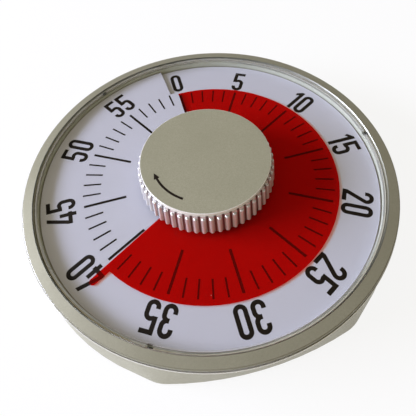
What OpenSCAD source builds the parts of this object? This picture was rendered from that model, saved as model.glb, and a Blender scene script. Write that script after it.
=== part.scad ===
// Wind-up visual countdown timer with a round case, a large ribbed knob and a red film
// that rises through a cut in the dial as the knob turns clockwise.
// The case lies on its back. +Z runs out of the dial, +Y towards the 0 mark and +X
// towards the 15 mark. The origin is on the back, on the knob's axis.

/* [Case] */
// Radius of the bezel over its outer edge
bezel_r = 95; // [91:0.5:102]
// Width of the bezel's flat face
bezel_face = 5.8; // [5:0.1:6.3]
// How far the lens lies below the bezel's crest
lens_recess = 2.1; // [1.6:0.1:3]
// How far the housing's sides stand out past the bezel, on the back
side_out = 3.4; // [2:0.1:8]
// How far the crowned top and bottom stay inside the bezel's edge
crown_in = 0.5; // [0:0.1:1]
// Radius of that crown
crown_r = 170; // [150:1:260]
// Direction where the straight facets leave the round side, from the bottom
facet_deg = 38; // [36:0.5:42]
// Rounding of the four corners between facets and crowns
corner_r = 20; // [8:1:30]
// Rounding of the back's edge
back_edge = 1.5; // [0.5:0.1:2]
// Wall thickness of the housing
wall = 2.2; // [1.8:0.1:2.6]
// Thickness of the housing's floor
floor_t = 2; // [1.6:0.1:2.6]

/* [Dial and film] */
// Room between the dial's edge and the outside of the lens's rim wall
dial_room = 0.8; // [0.7:0.1:1.4]
// Thickness of the dial
dial_t = 0.5; // [0.4:0.05:0.7]
// Radius of the hole in the dial
dial_hole = 12; // [11:0.5:20]
// Width of the ring of the dial that the film leaves free
film_inset = 20.6; // [14:0.2:36]
// Thickness of the film
film_t = 0.3; // [0.2:0.05:0.4]
// Room above and below the film
film_gap = 0.4; // [0.35:0.05:0.5]
// How far the pointer's end stays from the dial's edge
pointer_inset = 9.2; // [5:0.2:12]
// Width of the pointer
pointer_w = 3.3; // [3:0.1:5.5]
// How far the film's edge overlaps the notch beside the 0
notch_overlap = 1; // [0:0.5:4]
// Radius of the film's hub
hub_r = 9; // [7:0.5:10]

/* [Lens] */
// Thickness of the lens
lens_t = 0.8; // [0.6:0.1:1]
// Room between the bezel and the outside of the lens's rim wall
rim_room = 0.8; // [0.6:0.1:1]
// Thickness of the rim wall
rim_t = 0.9; // [0.7:0.1:1.2]
// Radius of the hole for the knob's stem
lens_hole = 8.5; // [8.2:0.1:12]
// Directions of the three snap tabs, clockwise from 0
tab_deg = [78, 213, 316.8];

/* [Knob] */
// Radius of the cap
cap_r = 32.2; // [28:0.2:33]
// Height of the knob over its base
knob_h = 14; // [12:0.5:20]
// Radius over the ribs at the base
knob_base_r = 34.8; // [34.4:0.1:36]
// Number of grip ribs
rib_count = 56; // [24:1:60]
// Radius of one rib
rib_r = 1.15; // [0.9:0.05:1.5]
// Depth of the grooves between the ribs
rib_depth = 0.85; // [0.6:0.05:1]
// Radius of the knob's stem
stem_r = 7.5; // [6:0.1:7.8]

/* [Movement] */
// Room between the leg's pocket and the movement
movement_room = 0.9; // [0.5:0.1:4]
// Thickness of the brass plates
plate_t = 1; // [0.8:0.1:1.2]
// Room between the plates
plates_gap = 9; // [8.8:0.1:10]
// Radius of the main arbor
arbor_r = 3; // [2.6:0.1:3.4]
// Distance across the arbor's two flats
arbor_flats = 4.8; // [4:0.1:5]
// Thickness of the wheels
wheel_t = 0.7; // [0.5:0.05:0.8]
// Radius of the pivots of the small arbors
pivot_r = 0.6; // [0.5:0.05:0.7]
// Radius of the small arbors
staff_r = 1; // [0.8:0.05:1.1]
// Turns of the mainspring
spring_turns = 5; // [3:1:6]
// Radius of the mainspring over its last turn
spring_r = 14.7; // [12:0.1:15]
// Thickness of its strip
spring_t = 0.3; // [0.2:0.05:0.4]
// Teeth of the main wheel
main_teeth = 72; // [72:12:72]
// Teeth of the second and the third wheel
wheel_teeth = 60; // [60:12:60]
// Module of the main wheel and of the pinion that it drives
main_module = 0.5; // [0.45:0.01:0.55]
// Module of the second wheel and of its pinion
second_module = 0.4; // [0.38:0.01:0.42]
// Module of the third wheel and of its pinion
third_module = 0.35; // [0.34:0.01:0.36]
// Leaves of each pinion
leaves = 12; // [12:1:12]
// Teeth of the escape wheel
escape_teeth = 15; // [15:1:15]
// Radius of the escape wheel
escape_r = 7; // [6.8:0.1:7.1]

/* [Bell] */
// Radius of the bell at its mouth
bell_r = 22; // [16:0.5:24]
// Height of the bell
bell_h = 10; // [8:0.5:12]
// Thickness of the bell
bell_t = 0.8; // [0.5:0.1:1.2]
// Centre of the bell
bell_at = [12, -58];

/* [Stand and back] */
// Width of the fold-out leg at its hinge
leg_w = 36; // [24:1:38]
// Length of the leg from its hinge
leg_l = 74; // [50:1:76]
// Thickness of the leg
leg_t = 2.4; // [1.8:0.1:2.6]
// Radius of the hinge pin
leg_pin_r = 1; // [0.8:0.1:1.2]
// Radius of a magnet
magnet_r = 9; // [6:0.5:11]
// Thickness of a magnet
magnet_t = 3; // [2:0.5:4]
// Radius of the round end of the hanging hole
hang_r = 4.5; // [4:0.1:6]
// Half width of the slot above it
hang_slot = 2.2; // [1.8:0.1:3]

/* [Fits] */
// Radial play of a running or sliding fit
run = 0.05; // [0.03:0.01:0.08]
// Radial play of a piece that is pressed or screwed home
snug = 0.02; // [0.01:0.01:0.04]
// Room round pieces that are dropped in place
fit = 0.1; // [0.05:0.05:0.15]
// Room between pieces that pass each other
pass = 0.3; // [0.3:0.05:0.35]

/* [Hidden] */
$fn = 96;
// how far a cut runs past the face that it opens, and how far shapes of one piece overlap
past = 1;
weld = 0.3;

// radii inside the case, from the bezel inwards
back_r = bezel_r + side_out;
back_flat = bezel_r - crown_in;
shell_top_r = bezel_r - 1;
bezel_in = bezel_r - bezel_face;
skirt_r = bezel_r - 3.5;
skirt_t = 1.2;
carrier_r = skirt_r - skirt_t - 2 * fit;
rim_r = bezel_in - rim_room;
carrier_in = rim_r - 0.4;
dial_r = rim_r - dial_room;
ledge_r = dial_r - 3.1;
film_r = dial_r - film_inset;
pointer_r = dial_r - pointer_inset;
cut_r = film_r - notch_overlap;

// stand
leg_open = 45;
leg_face = 0.5;
leg_corner = 5;
leg_dish = [4, 6, 1];
knuckle_r = leg_t / 2 + 0.8;
leg_pivot = [41, knuckle_r + 0.6];
pocket_side = 0.4;
pocket_roof = leg_pivot[1] + knuckle_r + pass;
pocket_wall = 1.4;
nail_r = 8;
nail_depth = 1.4;
heel_t = 1;
heel_l = (knuckle_r + pass - 0.05 - heel_t / 2 * cos(leg_open)) / sin(leg_open);

// heights from the back up: movement, film at its lowest, dial, lens and bezel
rear_z = pocket_roof + pocket_wall + movement_room;
between_z = rear_z + plate_t;
front_z = between_z + plates_gap;
screw_head = 1.2;
screw_room = 1.3;
film_low = front_z + plate_t + screw_head + screw_room + pass;
film_pitch = dial_t + film_t + 2 * film_gap;
dial_z = film_low - film_gap + film_pitch;
lens_z = dial_z + film_pitch + film_t + 2 * film_gap;
lens_top = lens_z + lens_t;
case_h = lens_top + lens_recess;
bezel_z = lens_z + fit;
skirt_h = 4;
skirt_z = bezel_z - skirt_h;
collar_z = skirt_z - 2 * pass;

// bezel's section and lugs
bezel_fall = 0.6;
bezel_edge = 0.9;
bezel_lip = 0.4;
lug_count = 8;
lug_w = 10;
lug_h = 1;
lug_out = 0.8;
lug_z = skirt_z + 0.5;

// lens
rim_top = case_h - 0.5;
rim_foot = 0.4;
tab_w = 7;
tab_h = 0.8;
tab_z = rim_top - tab_h;

// ring under the lens
ledge_top = dial_z - dial_t - fit;
ledge_h = 1.8;
ledge_z = ledge_top - ledge_h - 0.5;
ledge_end = 350.9;

// knob
knob_z = lens_top + pass;
knob_top = knob_z + knob_h;
cap_t = 1.8;
cap_edge = 0.5;
cap_z = knob_top - cap_t;
web_t = 1.6;
web_z = cap_z - web_t;
core_r = knob_base_r - rib_depth;
knob_wall = 2.8;
knob_draft = 0.4;
band_h = 1.2;
band_out = 0.6;
tip_r = cap_r + 1.5;
rib_top = cap_z - band_h + 0.1;
stiffeners = 6;
stiffener_t = 1.2;
peg_r = 1.5;
peg_at = 22.5;
pegs = 3;

// screw that holds the knob on the arbor
knob_screw_r = 1;
knob_screw_l = 9;
knob_screw_head = [2.6, 1.3];
knob_screw_z = cap_z - fit - knob_screw_head[1];
socket_top = web_z - 2;
cross_t = 0.6;

// film and its hub
film_start = 238.4;
film_sweep = 358;
tongue = 8;
lifted_edge = 358.9;
notch_edge = 354.9;
hub_lip = 0.2;
film_base = dial_z + film_gap;
hub_low = film_base + film_pitch * (film_start - film_sweep) / 360 - hub_lip;
hub_high = film_base + film_t + film_pitch * film_start / 360 + hub_lip;

// train: places of the arbors
second_dir = 150;
third_dir = 100;
escape_dir = 30;
second_at = reach([0, 0], main_module * (main_teeth + leaves) / 2, second_dir);
third_at = reach(second_at, second_module * (wheel_teeth + leaves) / 2, third_dir);
escape_at = reach(third_at, third_module * (wheel_teeth + leaves) / 2, escape_dir);
balance_dir = 10;
balance_d = escape_r + 2.6;
balance_at = reach(escape_at, balance_d, balance_dir);

// train: teeth in shares of the module, play of a tooth and a leaf, and the wheels' webs
tooth_tip = 0.75;
tooth_root = 1.1;
leaf_tip = 0.6;
leaf_root = 1.15;
tooth_play = 0.1;
leaf_play = 0.12;
tip_flank = 20;
root_flank = 14;
wheel_hub = 2;
wheel_rim = 1.2;
spoke_w = 1.4;
main_pivot_r = 1.5;
second_turn = 0;
third_turn = 0;

// train: heights over the rear plate
main_wheel_z = between_z + 0.8;
main_wheel_t = wheel_t + 0.3;
washer_t = 0.3;
washer_w = 3.2;
cam_z = main_wheel_z + main_wheel_t + washer_t;
cam_t = 0.9;
second_z = main_wheel_z + main_wheel_t + 0.9;
spring_z = second_z + wheel_t + 0.6;
spring_h = front_z - 0.6 - spring_z;
third_z = second_z + wheel_t + 1;
escape_z = third_z + wheel_t + 1.3;
roller_z = escape_z - 1.2;
roller_t = 0.5;

// mainspring's fixed end
spring_dir = -20;
post_r = 0.9;
post_at = reach([0, 0], spring_r + fit + post_r, spring_dir);

// escape wheel and balance
escape_tooth = 1.9;
tooth_foot_deg = 6;
tooth_tip_deg = 1.2;
impulse_r = 0.25;
impulse_at = 3.2;
impulse_deg = 43.4;
roller_r = 1.6;
finger_r = 0.6;
balance_r = 8;
balance_t = 1.2;
balance_rim = 1.8;

// snail cam and the lever on its edge
snail_low = 5.2;
snail_rise = 2.2;
lever_hub = 2.4;
lever_t = 0.8;
trip_at = [-16, -18];
trip_root = 1.6;
trip_tip = 0.4;
trip_nose = 0.15;
trip_tail = [8, 0.9];
snail_now = snail_low + snail_rise * film_start / film_sweep + trip_tip + fit;
trip_d = norm(trip_at);
trip_len = sqrt(trip_d * trip_d - snail_now * snail_now);
snail_dir = atan2(trip_at[1], trip_at[0]) - acos(snail_now / trip_d);

// bell
bell_z = floor_t + 3;
bell_crown = bell_z + bell_h;
bell_shoulder = 5;
bell_pad_r = 4;
bell_pad_z = floor_t + 1.2;
bell_post_r = 3;
bell_stud_r = 1.5;
bell_nut_r = 3.2;
bell_nut_h = 2;
slot_w = 2.2;
slot_pitch = 5;
slot_pairs = 3;

// hammer
hammer_gap = 1.6;
hammer_r = 2;
hammer_h = 4;
hammer_dir = 125;
hammer_len = 20;
hammer_tail = 7;
hammer_head_at = reach(bell_at, bell_r + hammer_gap + hammer_r, hammer_dir);
hammer_at = reach(hammer_head_at, hammer_len, hammer_dir - 90);
hammer_arm_z = between_z + 3.6;
hammer_arm_t = 0.9;
hammer_arm_w = 1.8;
rivet_r = 0.8;

// plates and their pillars
plate_lo = [-38, -31];
plate_hi = [30, 48];
plate_corner = 5;
pillar_in = 4;
pillar_at = [
  [plate_lo[0] + pillar_in, plate_lo[1] + pillar_in],
  [plate_hi[0] - pillar_in, plate_lo[1] + pillar_in],
  [plate_hi[0] - pillar_in, plate_hi[1] - pillar_in],
  [plate_lo[0] + pillar_in, plate_hi[1] - pillar_in]
];
pillar_r = 2.2;
spigot_r = 1.5;
spigot_l = rear_z - floor_t - 1;
boss_r = 3.6;
window_at = [14, 20];
window_r = 9;
pillar_screw_r = 1;
pillar_screw_head = 2;
pillar_screw_l = 4;
driver_slot = [0.5, 0.5];

// case screws
case_screw_deg = [45, 135, 225, 315];
case_screw_r = carrier_r - 4.1;
case_screw_shank = 1.45;
case_screw_head = 3;
case_head_h = 2.2;
case_boss_top = 8.8;
case_boss_wall = 2;
case_thread = 6.3;
counter_z = 4;

// magnets and hanging hole
magnet_at = [[-60, 8], [60, 8]];
magnet_z = 0.3;
magnet_wall = 2.4;
magnet_roof = 1.6;
hang_y = 70;
hang_slot_l = 3;

// ---------------------------------------------------------------- shared shapes

function reach(from, d, deg) = [from[0] + d * cos(deg), from[1] + d * sin(deg)];

// Point on the dial: radius and degrees clockwise from the 0 mark
function dial_point(r, deg) = [r * sin(deg), r * cos(deg)];

// Round cut that runs past both faces of a piece of height h
module bore(r, h) {
  translate([0, 0, -past]) cylinder(r = r, h = h + 2 * past);
}

// Ring between two radii
module ring(r_out, r_in, h) {
  difference() {
    cylinder(r = r_out, h = h);
    bore(r_in, h);
  }
}

// Screw-shaped sheet that climbs film_pitch a turn, clockwise. Its underside is
// parallel to its top, or flat where a height is given for it.
module ramp(r_in, r_out, from, to, z_top, thick = 0, flat_z = undef) {
  step = 6;
  n = ceil((to - from) / step);
  function section(t) = let (
    top = z_top + film_pitch * t / 360,
    low = is_undef(flat_z) ? top - thick : flat_z
  ) [[r_in, top], [r_out, top], [r_out, low], [r_in, low]];
  points = [
    for (i = [0:n]) let (t = from + (to - from) * i / n)
    for (p = section(t)) [p[0] * sin(t), p[0] * cos(t), p[1]]
  ];
  sides = [
    for (i = [0:n - 1]) for (k = [0:3]) let (
      a = i * 4 + k, b = i * 4 + (k + 1) % 4
    ) each [[a, b, b + 4], [a, b + 4, a + 4]]
  ];
  ends = [[3, 2, 1, 0], [for (k = [0:3]) n * 4 + k]];
  polyhedron(points = points, faces = concat(sides, ends), convexity = 6);
}

// Toothed wheel. Short straight-flanked teeth leave the play that clock wheels have.
module toothed(teeth, m, h, addendum, dedendum, play) {
  r = m * teeth / 2;
  half = 90 / teeth - play / r * 90 / PI;
  tip_half = half - addendum / r * tan(tip_flank) * 180 / PI;
  root_half = half + dedendum / r * tan(root_flank) * 180 / PI;
  outline = [
    for (i = [0:teeth - 1]) let (a = 360 * i / teeth)
    for (p = [
      [r - dedendum, a - root_half], [r, a - half], [r + addendum, a - tip_half],
      [r + addendum, a + tip_half], [r, a + half], [r - dedendum, a + root_half]
    ]) [p[0] * cos(p[1]), p[0] * sin(p[1])]
  ];
  linear_extrude(h) polygon(outline);
}

// Openings between the spokes of a wheel, cut through both faces
module crossings(r_in, r_out, spokes, spoke, h) {
  for (i = [0:spokes - 1]) rotate(360 * (i + 0.5) / spokes) difference() {
    rotate_extrude(angle = 360 / spokes, start = -180 / spokes)
      translate([r_in, -past]) square([r_out - r_in, h + 2 * past]);
    for (s = [-1, 1]) rotate(s * 180 / spokes)
      translate([0, -spoke / 2, -past]) cube([r_out + past, spoke, h + 2 * past]);
  }
}

module spoked_wheel(teeth, m, h, hole, spokes) {
  r = m * teeth / 2;
  difference() {
    toothed(teeth, m, h, tooth_tip * m, tooth_root * m, tooth_play);
    bore(hole, h);
    crossings(hole + wheel_hub, r - tooth_root * m - wheel_rim, spokes, spoke_w, h);
  }
}

// Plain staff between the plates, with a pivot at each end
module staff() {
  translate([0, 0, rear_z]) cylinder(r = pivot_r, h = plates_gap + 2 * plate_t);
  translate([0, 0, between_z + pass]) cylinder(r = staff_r, h = plates_gap - 2 * pass);
}

// Staff with a pinion cut on it, a little longer than the wheel that drives it
module arbor_with_pinion(m, driver_z, driver_t, turned) {
  staff();
  translate([0, 0, driver_z - pass]) rotate(turned)
    toothed(leaves, m, driver_t + 2 * pass, leaf_tip * m, leaf_root * m, leaf_play);
}

// A wheel with a tooth at angle turn drives a pinion that lies in direction dir.
// The pinion's gap has to face the tooth that is nearest to the line of centres.
function pinion_turn(dir, teeth, turn) =
  let (
    pitch = 360 / teeth,
    off = (dir - turn) / pitch,
    behind = (off - round(off)) * pitch
  ) dir + 180 + behind * teeth / leaves + 180 / leaves;

module at(p) {
  translate([p[0], p[1], 0]) children();
}

module each_screw() {
  for (a = case_screw_deg) rotate(a) translate([case_screw_r, 0, 0]) children();
}

// ---------------------------------------------------------------- case

// Outline of the back: round sides, a crowned top and bottom, and straight facets
// that run tangent from the sides to the four corners, which are rounded
module back_outline(inset) {
  r = back_r - inset;
  apex = r / cos(facet_deg);
  eased = corner_r - inset;
  offset(r = eased, $fn = 72) offset(delta = -eased) intersection() {
    union() {
      circle(r = r, $fn = 72);
      for (s = [-1, 1]) polygon([
        [0, 0], [r * sin(facet_deg), s * r * cos(facet_deg)], [0, s * apex],
        [-r * sin(facet_deg), s * r * cos(facet_deg)]
      ]);
    }
    crown(inset, 1);
    crown(inset, -1);
  }
}

module crown(inset, side) {
  translate([0, side * (back_flat - crown_r)]) circle(r = crown_r - inset, $fn = 120);
}

// The housing narrows from the back's outline to a circle of top_r
module case_form(inset, from_z, to_z, edge, top_r) {
  slice = 0.01;
  hull() {
    if (edge > 0) translate([0, 0, from_z]) linear_extrude(slice) back_outline(inset + edge);
    translate([0, 0, from_z + edge]) linear_extrude(slice) back_outline(inset);
    translate([0, 0, to_z - slice]) cylinder(r = top_r, h = slice);
  }
}

module keyhole(h) {
  neck = hang_r + hang_slot_l;
  cylinder(r = hang_r, h = h);
  translate([-hang_slot, 0, 0]) cube([2 * hang_slot, neck, h]);
  translate([0, neck, 0]) cylinder(r = hang_slot, h = h);
}

module leg_pocket(grow, top) {
  w = leg_w + 2 * pocket_side + 2 * grow;
  foot = leg_pivot[0] - leg_l - pocket_side - grow;
  head = leg_pivot[0] + heel_l + pocket_side + grow;
  translate([-w / 2, foot, 0]) cube([w, head - foot, top]);
}

// Slot with round ends along Y, centred
module slot(w, l, h) {
  translate([-w / 2, (w - l) / 2, 0]) cube([w, l - w, h]);
  for (s = [-1, 1]) translate([0, s * (l - w) / 2, 0]) cylinder(r = w / 2, h = h);
}

// Slots in two groups that let the bell be heard
module sound_slots() {
  for (s = [-1, 1]) for (i = [1:slot_pairs]) let (x = s * i * slot_pitch)
    translate([x, 0, -past])
      slot(slot_w, 1.5 * sqrt(bell_r * bell_r - x * x), floor_t + 2 * past);
}

module hollow_case() {
  difference() {
    case_form(0, 0, bezel_z, back_edge, shell_top_r);
    case_form(wall, floor_t, collar_z + weld, 0, skirt_r - fit);
    // collar that the bezel's skirt drops into, with a groove for its lugs
    translate([0, 0, collar_z]) cylinder(r = skirt_r + pass, h = bezel_z - collar_z + past);
    translate([0, 0, lug_z - pass]) cylinder(r = skirt_r + lug_out + pass, h = lug_h + 2 * pass);
  }
}

module back_shell() {
  magnet_top = magnet_z + magnet_t;
  color([0.72, 0.73, 0.68]) difference() {
    union() {
      hollow_case();
      leg_pocket(pocket_wall, pocket_roof + pocket_wall);
      each_screw() cylinder(r = case_screw_head + case_boss_wall, h = case_boss_top);
      for (p = pillar_at) at(p) cylinder(r = boss_r, h = rear_z);
      for (p = magnet_at) at(p) cylinder(r = magnet_r + magnet_wall, h = magnet_top + magnet_roof);
      at(bell_at) cylinder(r = bell_pad_r, h = bell_pad_z);
    }
    // pocket of the fold-out leg, with its hinge pin and a nail cut at its foot
    translate([0, 0, -past]) leg_pocket(0, pocket_roof + past);
    translate([-leg_w / 2 - pocket_wall - past, leg_pivot[0], leg_pivot[1]]) rotate([0, 90, 0])
      cylinder(r = leg_pin_r + snug, h = leg_w + 2 * pocket_wall + 2 * past);
    translate([0, leg_pivot[0] - leg_l - 2, -past]) cylinder(r = nail_r, h = nail_depth + past);
    each_screw() {
      translate([0, 0, -past]) cylinder(r = case_screw_head + fit + pass, h = counter_z + past);
      bore(case_screw_shank + fit, case_boss_top);
    }
    for (p = pillar_at) at(p) translate([0, 0, floor_t]) cylinder(r = spigot_r + snug, h = rear_z);
    for (p = magnet_at) at(p) translate([0, 0, -past]) cylinder(r = magnet_r + fit, h = magnet_top + past);
    translate([0, hang_y, -past]) keyhole(floor_t + 2 * past);
    at(bell_at) translate([0, 0, bell_pad_z - floor_t]) cylinder(r = bell_stud_r + snug, h = floor_t + past);
    at(bell_at) sound_slots();
  }
}

module bezel() {
  rim = case_h - bezel_fall;
  lip_z = bezel_z + bezel_lip;
  seat_z = lens_top + pass;
  edge = [for (a = [0:15:90])
    [bezel_r - bezel_edge + bezel_edge * cos(a), rim - bezel_edge + bezel_edge * sin(a)]];
  color([0.66, 0.68, 0.62]) {
    rotate_extrude() polygon(concat(
      [[bezel_in, seat_z], [skirt_r - skirt_t, seat_z], [skirt_r - skirt_t, skirt_z],
       [skirt_r, skirt_z], [skirt_r, lip_z], [bezel_r - bezel_lip, lip_z],
       [bezel_r, lip_z + bezel_lip]],
      edge,
      [[bezel_in + bezel_lip, case_h], [bezel_in, case_h - bezel_lip]]
    ));
    // lugs that snap into the housing's groove
    for (i = [0:lug_count - 1]) rotate(360 * (i + 0.5) / lug_count) intersection() {
      translate([0, 0, lug_z]) ring(skirt_r + lug_out, skirt_r - weld, lug_h);
      translate([0, -lug_w / 2, 0]) cube([bezel_r, lug_w, case_h]);
    }
  }
}

// Clear cover: a flat plate, and a rim wall that stands inside the bezel
module lens() {
  plate_r = carrier_r - fit;
  color([0.85, 0.9, 0.92, 0.35]) {
    rotate_extrude() polygon([
      [lens_hole, lens_z], [plate_r, lens_z], [plate_r, lens_top], [rim_r, lens_top],
      [rim_r, rim_top], [rim_r - rim_t, rim_top], [rim_r - rim_t, lens_top + rim_foot],
      [rim_r - rim_t - rim_foot, lens_top], [lens_hole, lens_top]
    ]);
    for (a = tab_deg) rotate(90 - a) intersection() {
      translate([0, 0, tab_z]) ring(bezel_in - fit, rim_r - weld, tab_h);
      translate([0, -tab_w / 2, 0]) cube([bezel_r, tab_w, case_h]);
    }
  }
}

// Moulded ring under the lens. Its sloping ledge carries the edge of the dial.
module dial_carrier() {
  boss_z = case_boss_top + 2 * fit;
  color([0.9, 0.9, 0.88]) difference() {
    union() {
      translate([0, 0, ledge_z]) ring(carrier_r, carrier_in, lens_z - ledge_z);
      translate([0, 0, ledge_z]) ring(carrier_in + weld, ledge_r, ledge_h);
      ramp(ledge_r + weld, carrier_in + weld, -tongue, ledge_end, ledge_top, 0, ledge_z + past);
      each_screw() translate([0, 0, boss_z]) cylinder(r = boss_r, h = ledge_z + past - boss_z);
    }
    each_screw() translate([0, 0, boss_z - past])
      cylinder(r = case_screw_shank + run, h = ledge_z - boss_z + past);
  }
}

// ---------------------------------------------------------------- dial and film

module dial_plate() {
  color([0.93, 0.93, 0.95]) difference() {
    intersection() {
      ramp(dial_hole - past, dial_r + past, -tongue, lifted_edge, dial_z, dial_t);
      cylinder(r = dial_r, h = case_h);
    }
    cylinder(r = dial_hole, h = case_h);
    // step in the lifted edge, so that the whole 0 shows beside it
    translate([0, 0, dial_z + film_pitch / 2]) linear_extrude(case_h) polygon([
      dial_point(cut_r, notch_edge), dial_point(cut_r, 360 + tongue / 2),
      dial_point(bezel_r, 360 + tongue / 2), dial_point(bezel_r, notch_edge)
    ]);
  }
}

// Disc with a pointer along its leading edge, which ends in a half circle
module film_outline() {
  nose = pointer_r - pointer_w / 2;
  circle(r = film_r, $fn = 180);
  rotate(-film_start) {
    translate([-pointer_w, 0]) square([pointer_w, nose]);
    translate([-pointer_w / 2, nose]) circle(r = pointer_w / 2);
  }
}

module red_film() {
  color([0.8, 0.08, 0.05, 0.8]) difference() {
    intersection() {
      ramp(hub_r - past, pointer_r + past, film_start - film_sweep, film_start, film_base + film_t, film_t);
      linear_extrude(case_h) film_outline();
    }
    cylinder(r = hub_r + run, h = case_h);
  }
}

// Two flats on the arbor turn the hub, which slides along them
module flatted(r, flats, h) {
  intersection() {
    cylinder(r = r, h = h);
    translate([-flats / 2, -r, 0]) cube([flats, 2 * r, h]);
  }
}

module film_hub() {
  color([0.9, 0.9, 0.88]) difference() {
    translate([0, 0, hub_low]) cylinder(r = hub_r, h = hub_high - hub_low);
    translate([0, 0, hub_low - past])
      flatted(arbor_r + run, arbor_flats + 2 * run, hub_high - hub_low + 2 * past);
  }
}

// ---------------------------------------------------------------- knob

// Grip ribs, cut to the knob's slope and rounded over at their tips
module grip_ribs() {
  lean = atan((knob_base_r - tip_r) / (rib_top - knob_z));
  length = (rib_top - knob_z) / cos(lean) - rib_r;
  intersection() {
    for (i = [0:rib_count - 1]) rotate(360 * (i + 0.5) / rib_count)
      translate([knob_base_r - rib_r / cos(lean), 0, knob_z]) rotate([0, -lean, 0]) {
        translate([0, 0, -past]) cylinder(r = rib_r, h = length + past);
        translate([0, 0, length]) sphere(r = rib_r);
      }
    translate([0, 0, knob_z]) cylinder(r = knob_base_r + past, h = rib_top);
  }
}

// Hollow knob: a ribbed skirt, a web under the cap, a stem and stiffeners between them
module knob_body() {
  wall_r = core_r - knob_wall;
  seat_r = knob_screw_head[0] + 2 * fit;
  color([0.6, 0.6, 0.52]) difference() {
    union() {
      rotate_extrude() polygon([
        [0, web_z], [wall_r - knob_draft, web_z], [wall_r, knob_z], [core_r, knob_z],
        [cap_r + band_out, cap_z - band_h], [cap_r + band_out / 2, cap_z], [0, cap_z]
      ]);
      grip_ribs();
      translate([0, 0, lens_z + fit]) cylinder(r = stem_r, h = web_z - lens_z);
      for (i = [0:stiffeners - 1]) rotate(360 * i / stiffeners)
        translate([stem_r - past, -stiffener_t / 2, web_z - 4])
          cube([wall_r - stem_r + past, stiffener_t, 4 + weld]);
    }
    translate([0, 0, lens_z - past])
      flatted(arbor_r + snug, arbor_flats + 2 * snug, socket_top + past - lens_z);
    translate([0, 0, lens_z]) cylinder(r = knob_screw_r + fit, h = knob_h);
    translate([0, 0, knob_screw_z]) cylinder(r = seat_r, h = knob_h);
    // seats of the cap's pegs
    each_peg() translate([0, 0, web_z - past]) cylinder(r = peg_r + snug, h = web_t + 2 * past);
  }
}

module each_peg() {
  for (i = [0:pegs - 1]) rotate(30 + 360 * i / pegs) translate([peg_at, 0, 0]) children();
}

module knob_cap() {
  color([0.62, 0.62, 0.54]) {
    rotate_extrude() polygon(concat(
      [[0, cap_z], [cap_r, cap_z]],
      [for (a = [0:30:90])
        [cap_r - cap_edge + cap_edge * cos(a), knob_top - cap_edge + cap_edge * sin(a)]],
      [[0, knob_top]]
    ));
    each_peg() translate([0, 0, web_z + 2 * fit]) cylinder(r = peg_r, h = web_t);
  }
}

// Cross recess in the head of a screw
module cross_recess(r, t, h) {
  for (a = [0, 90]) rotate(a) translate([-r, -t / 2, 0]) cube([2 * r, t, h]);
}

module knob_screw() {
  head = knob_screw_head;
  color([0.75, 0.75, 0.77]) translate([0, 0, knob_screw_z]) difference() {
    union() {
      cylinder(r = head[0], h = head[1]);
      translate([0, 0, -knob_screw_l]) cylinder(r = knob_screw_r, h = knob_screw_l + weld);
    }
    translate([0, 0, head[1] / 2]) cross_recess(head[0] / 2, cross_t, head[1]);
  }
}

// ---------------------------------------------------------------- movement

// Main arbor: a pivot in the rear plate, a round stretch up to the front plate and two
// flats above it, with a threaded hole for the knob's screw
module main_arbor() {
  flats_z = front_z + plate_t;
  color([0.7, 0.7, 0.72]) difference() {
    union() {
      translate([0, 0, rear_z + fit]) cylinder(r = main_pivot_r, h = plate_t + past);
      translate([0, 0, between_z + pass]) cylinder(r = arbor_r, h = flats_z + 2 * pass - between_z - pass);
      translate([0, 0, flats_z]) flatted(arbor_r, arbor_flats, socket_top - fit - flats_z);
    }
    translate([0, 0, knob_screw_z - knob_screw_l - fit])
      cylinder(r = knob_screw_r + snug, h = knob_screw_l + knob_h);
  }
}

module main_wheel() {
  color([0.85, 0.7, 0.35]) translate([0, 0, main_wheel_z])
    spoked_wheel(main_teeth, main_module, main_wheel_t, arbor_r + snug, 5);
}

// Sprung washer that lets the arbor be wound while the train holds the wheel
module clutch_washer() {
  color([0.7, 0.7, 0.72]) translate([0, 0, main_wheel_z + main_wheel_t])
    ring(arbor_r + washer_w, arbor_r + snug, washer_t);
}

// Snail cam: its edge grows evenly all the way round, then drops back in one step
module snail_cam() {
  steps = 60;
  edge = [for (i = [0:steps]) let (
    turned = film_sweep * i / steps,
    r = snail_low + snail_rise * turned / film_sweep,
    a = snail_dir - film_start + turned
  ) [r * cos(a), r * sin(a)]];
  color([0.8, 0.66, 0.34]) translate([0, 0, cam_z]) difference() {
    linear_extrude(cam_t) polygon(edge);
    bore(arbor_r + snug, cam_t);
  }
}

// Flat spiral spring from the arbor to its post
module mainspring() {
  n = spring_turns * 20;
  r_in = arbor_r + fit;
  grow = spring_r - spring_t - r_in;
  path = [for (i = [0:n]) let (u = i / n) [r_in + grow * u, spring_dir - 360 * spring_turns * (1 - u)]];
  color([0.45, 0.47, 0.55]) translate([0, 0, spring_z]) linear_extrude(spring_h) polygon(concat(
    [for (p = path) reach([0, 0], p[0], p[1])],
    [for (i = [n:-1:0]) reach([0, 0], path[i][0] + spring_t, path[i][1])]
  ));
}

module spring_post() {
  at(post_at) color([0.7, 0.7, 0.72]) translate([0, 0, spring_z - 2 * fit])
    cylinder(r = post_r, h = front_z + plate_t - spring_z + 2 * fit);
}

module second_wheel() {
  at(second_at) color([0.85, 0.7, 0.35]) translate([0, 0, second_z]) rotate(second_turn)
    spoked_wheel(wheel_teeth, second_module, wheel_t, staff_r + snug, 4);
}

module second_arbor() {
  at(second_at) color([0.7, 0.7, 0.72])
    arbor_with_pinion(main_module, main_wheel_z, main_wheel_t, pinion_turn(second_dir, main_teeth, 0));
}

module third_wheel() {
  at(third_at) color([0.85, 0.7, 0.35]) translate([0, 0, third_z]) rotate(third_turn)
    spoked_wheel(wheel_teeth, third_module, wheel_t, staff_r + snug, 4);
}

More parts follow.
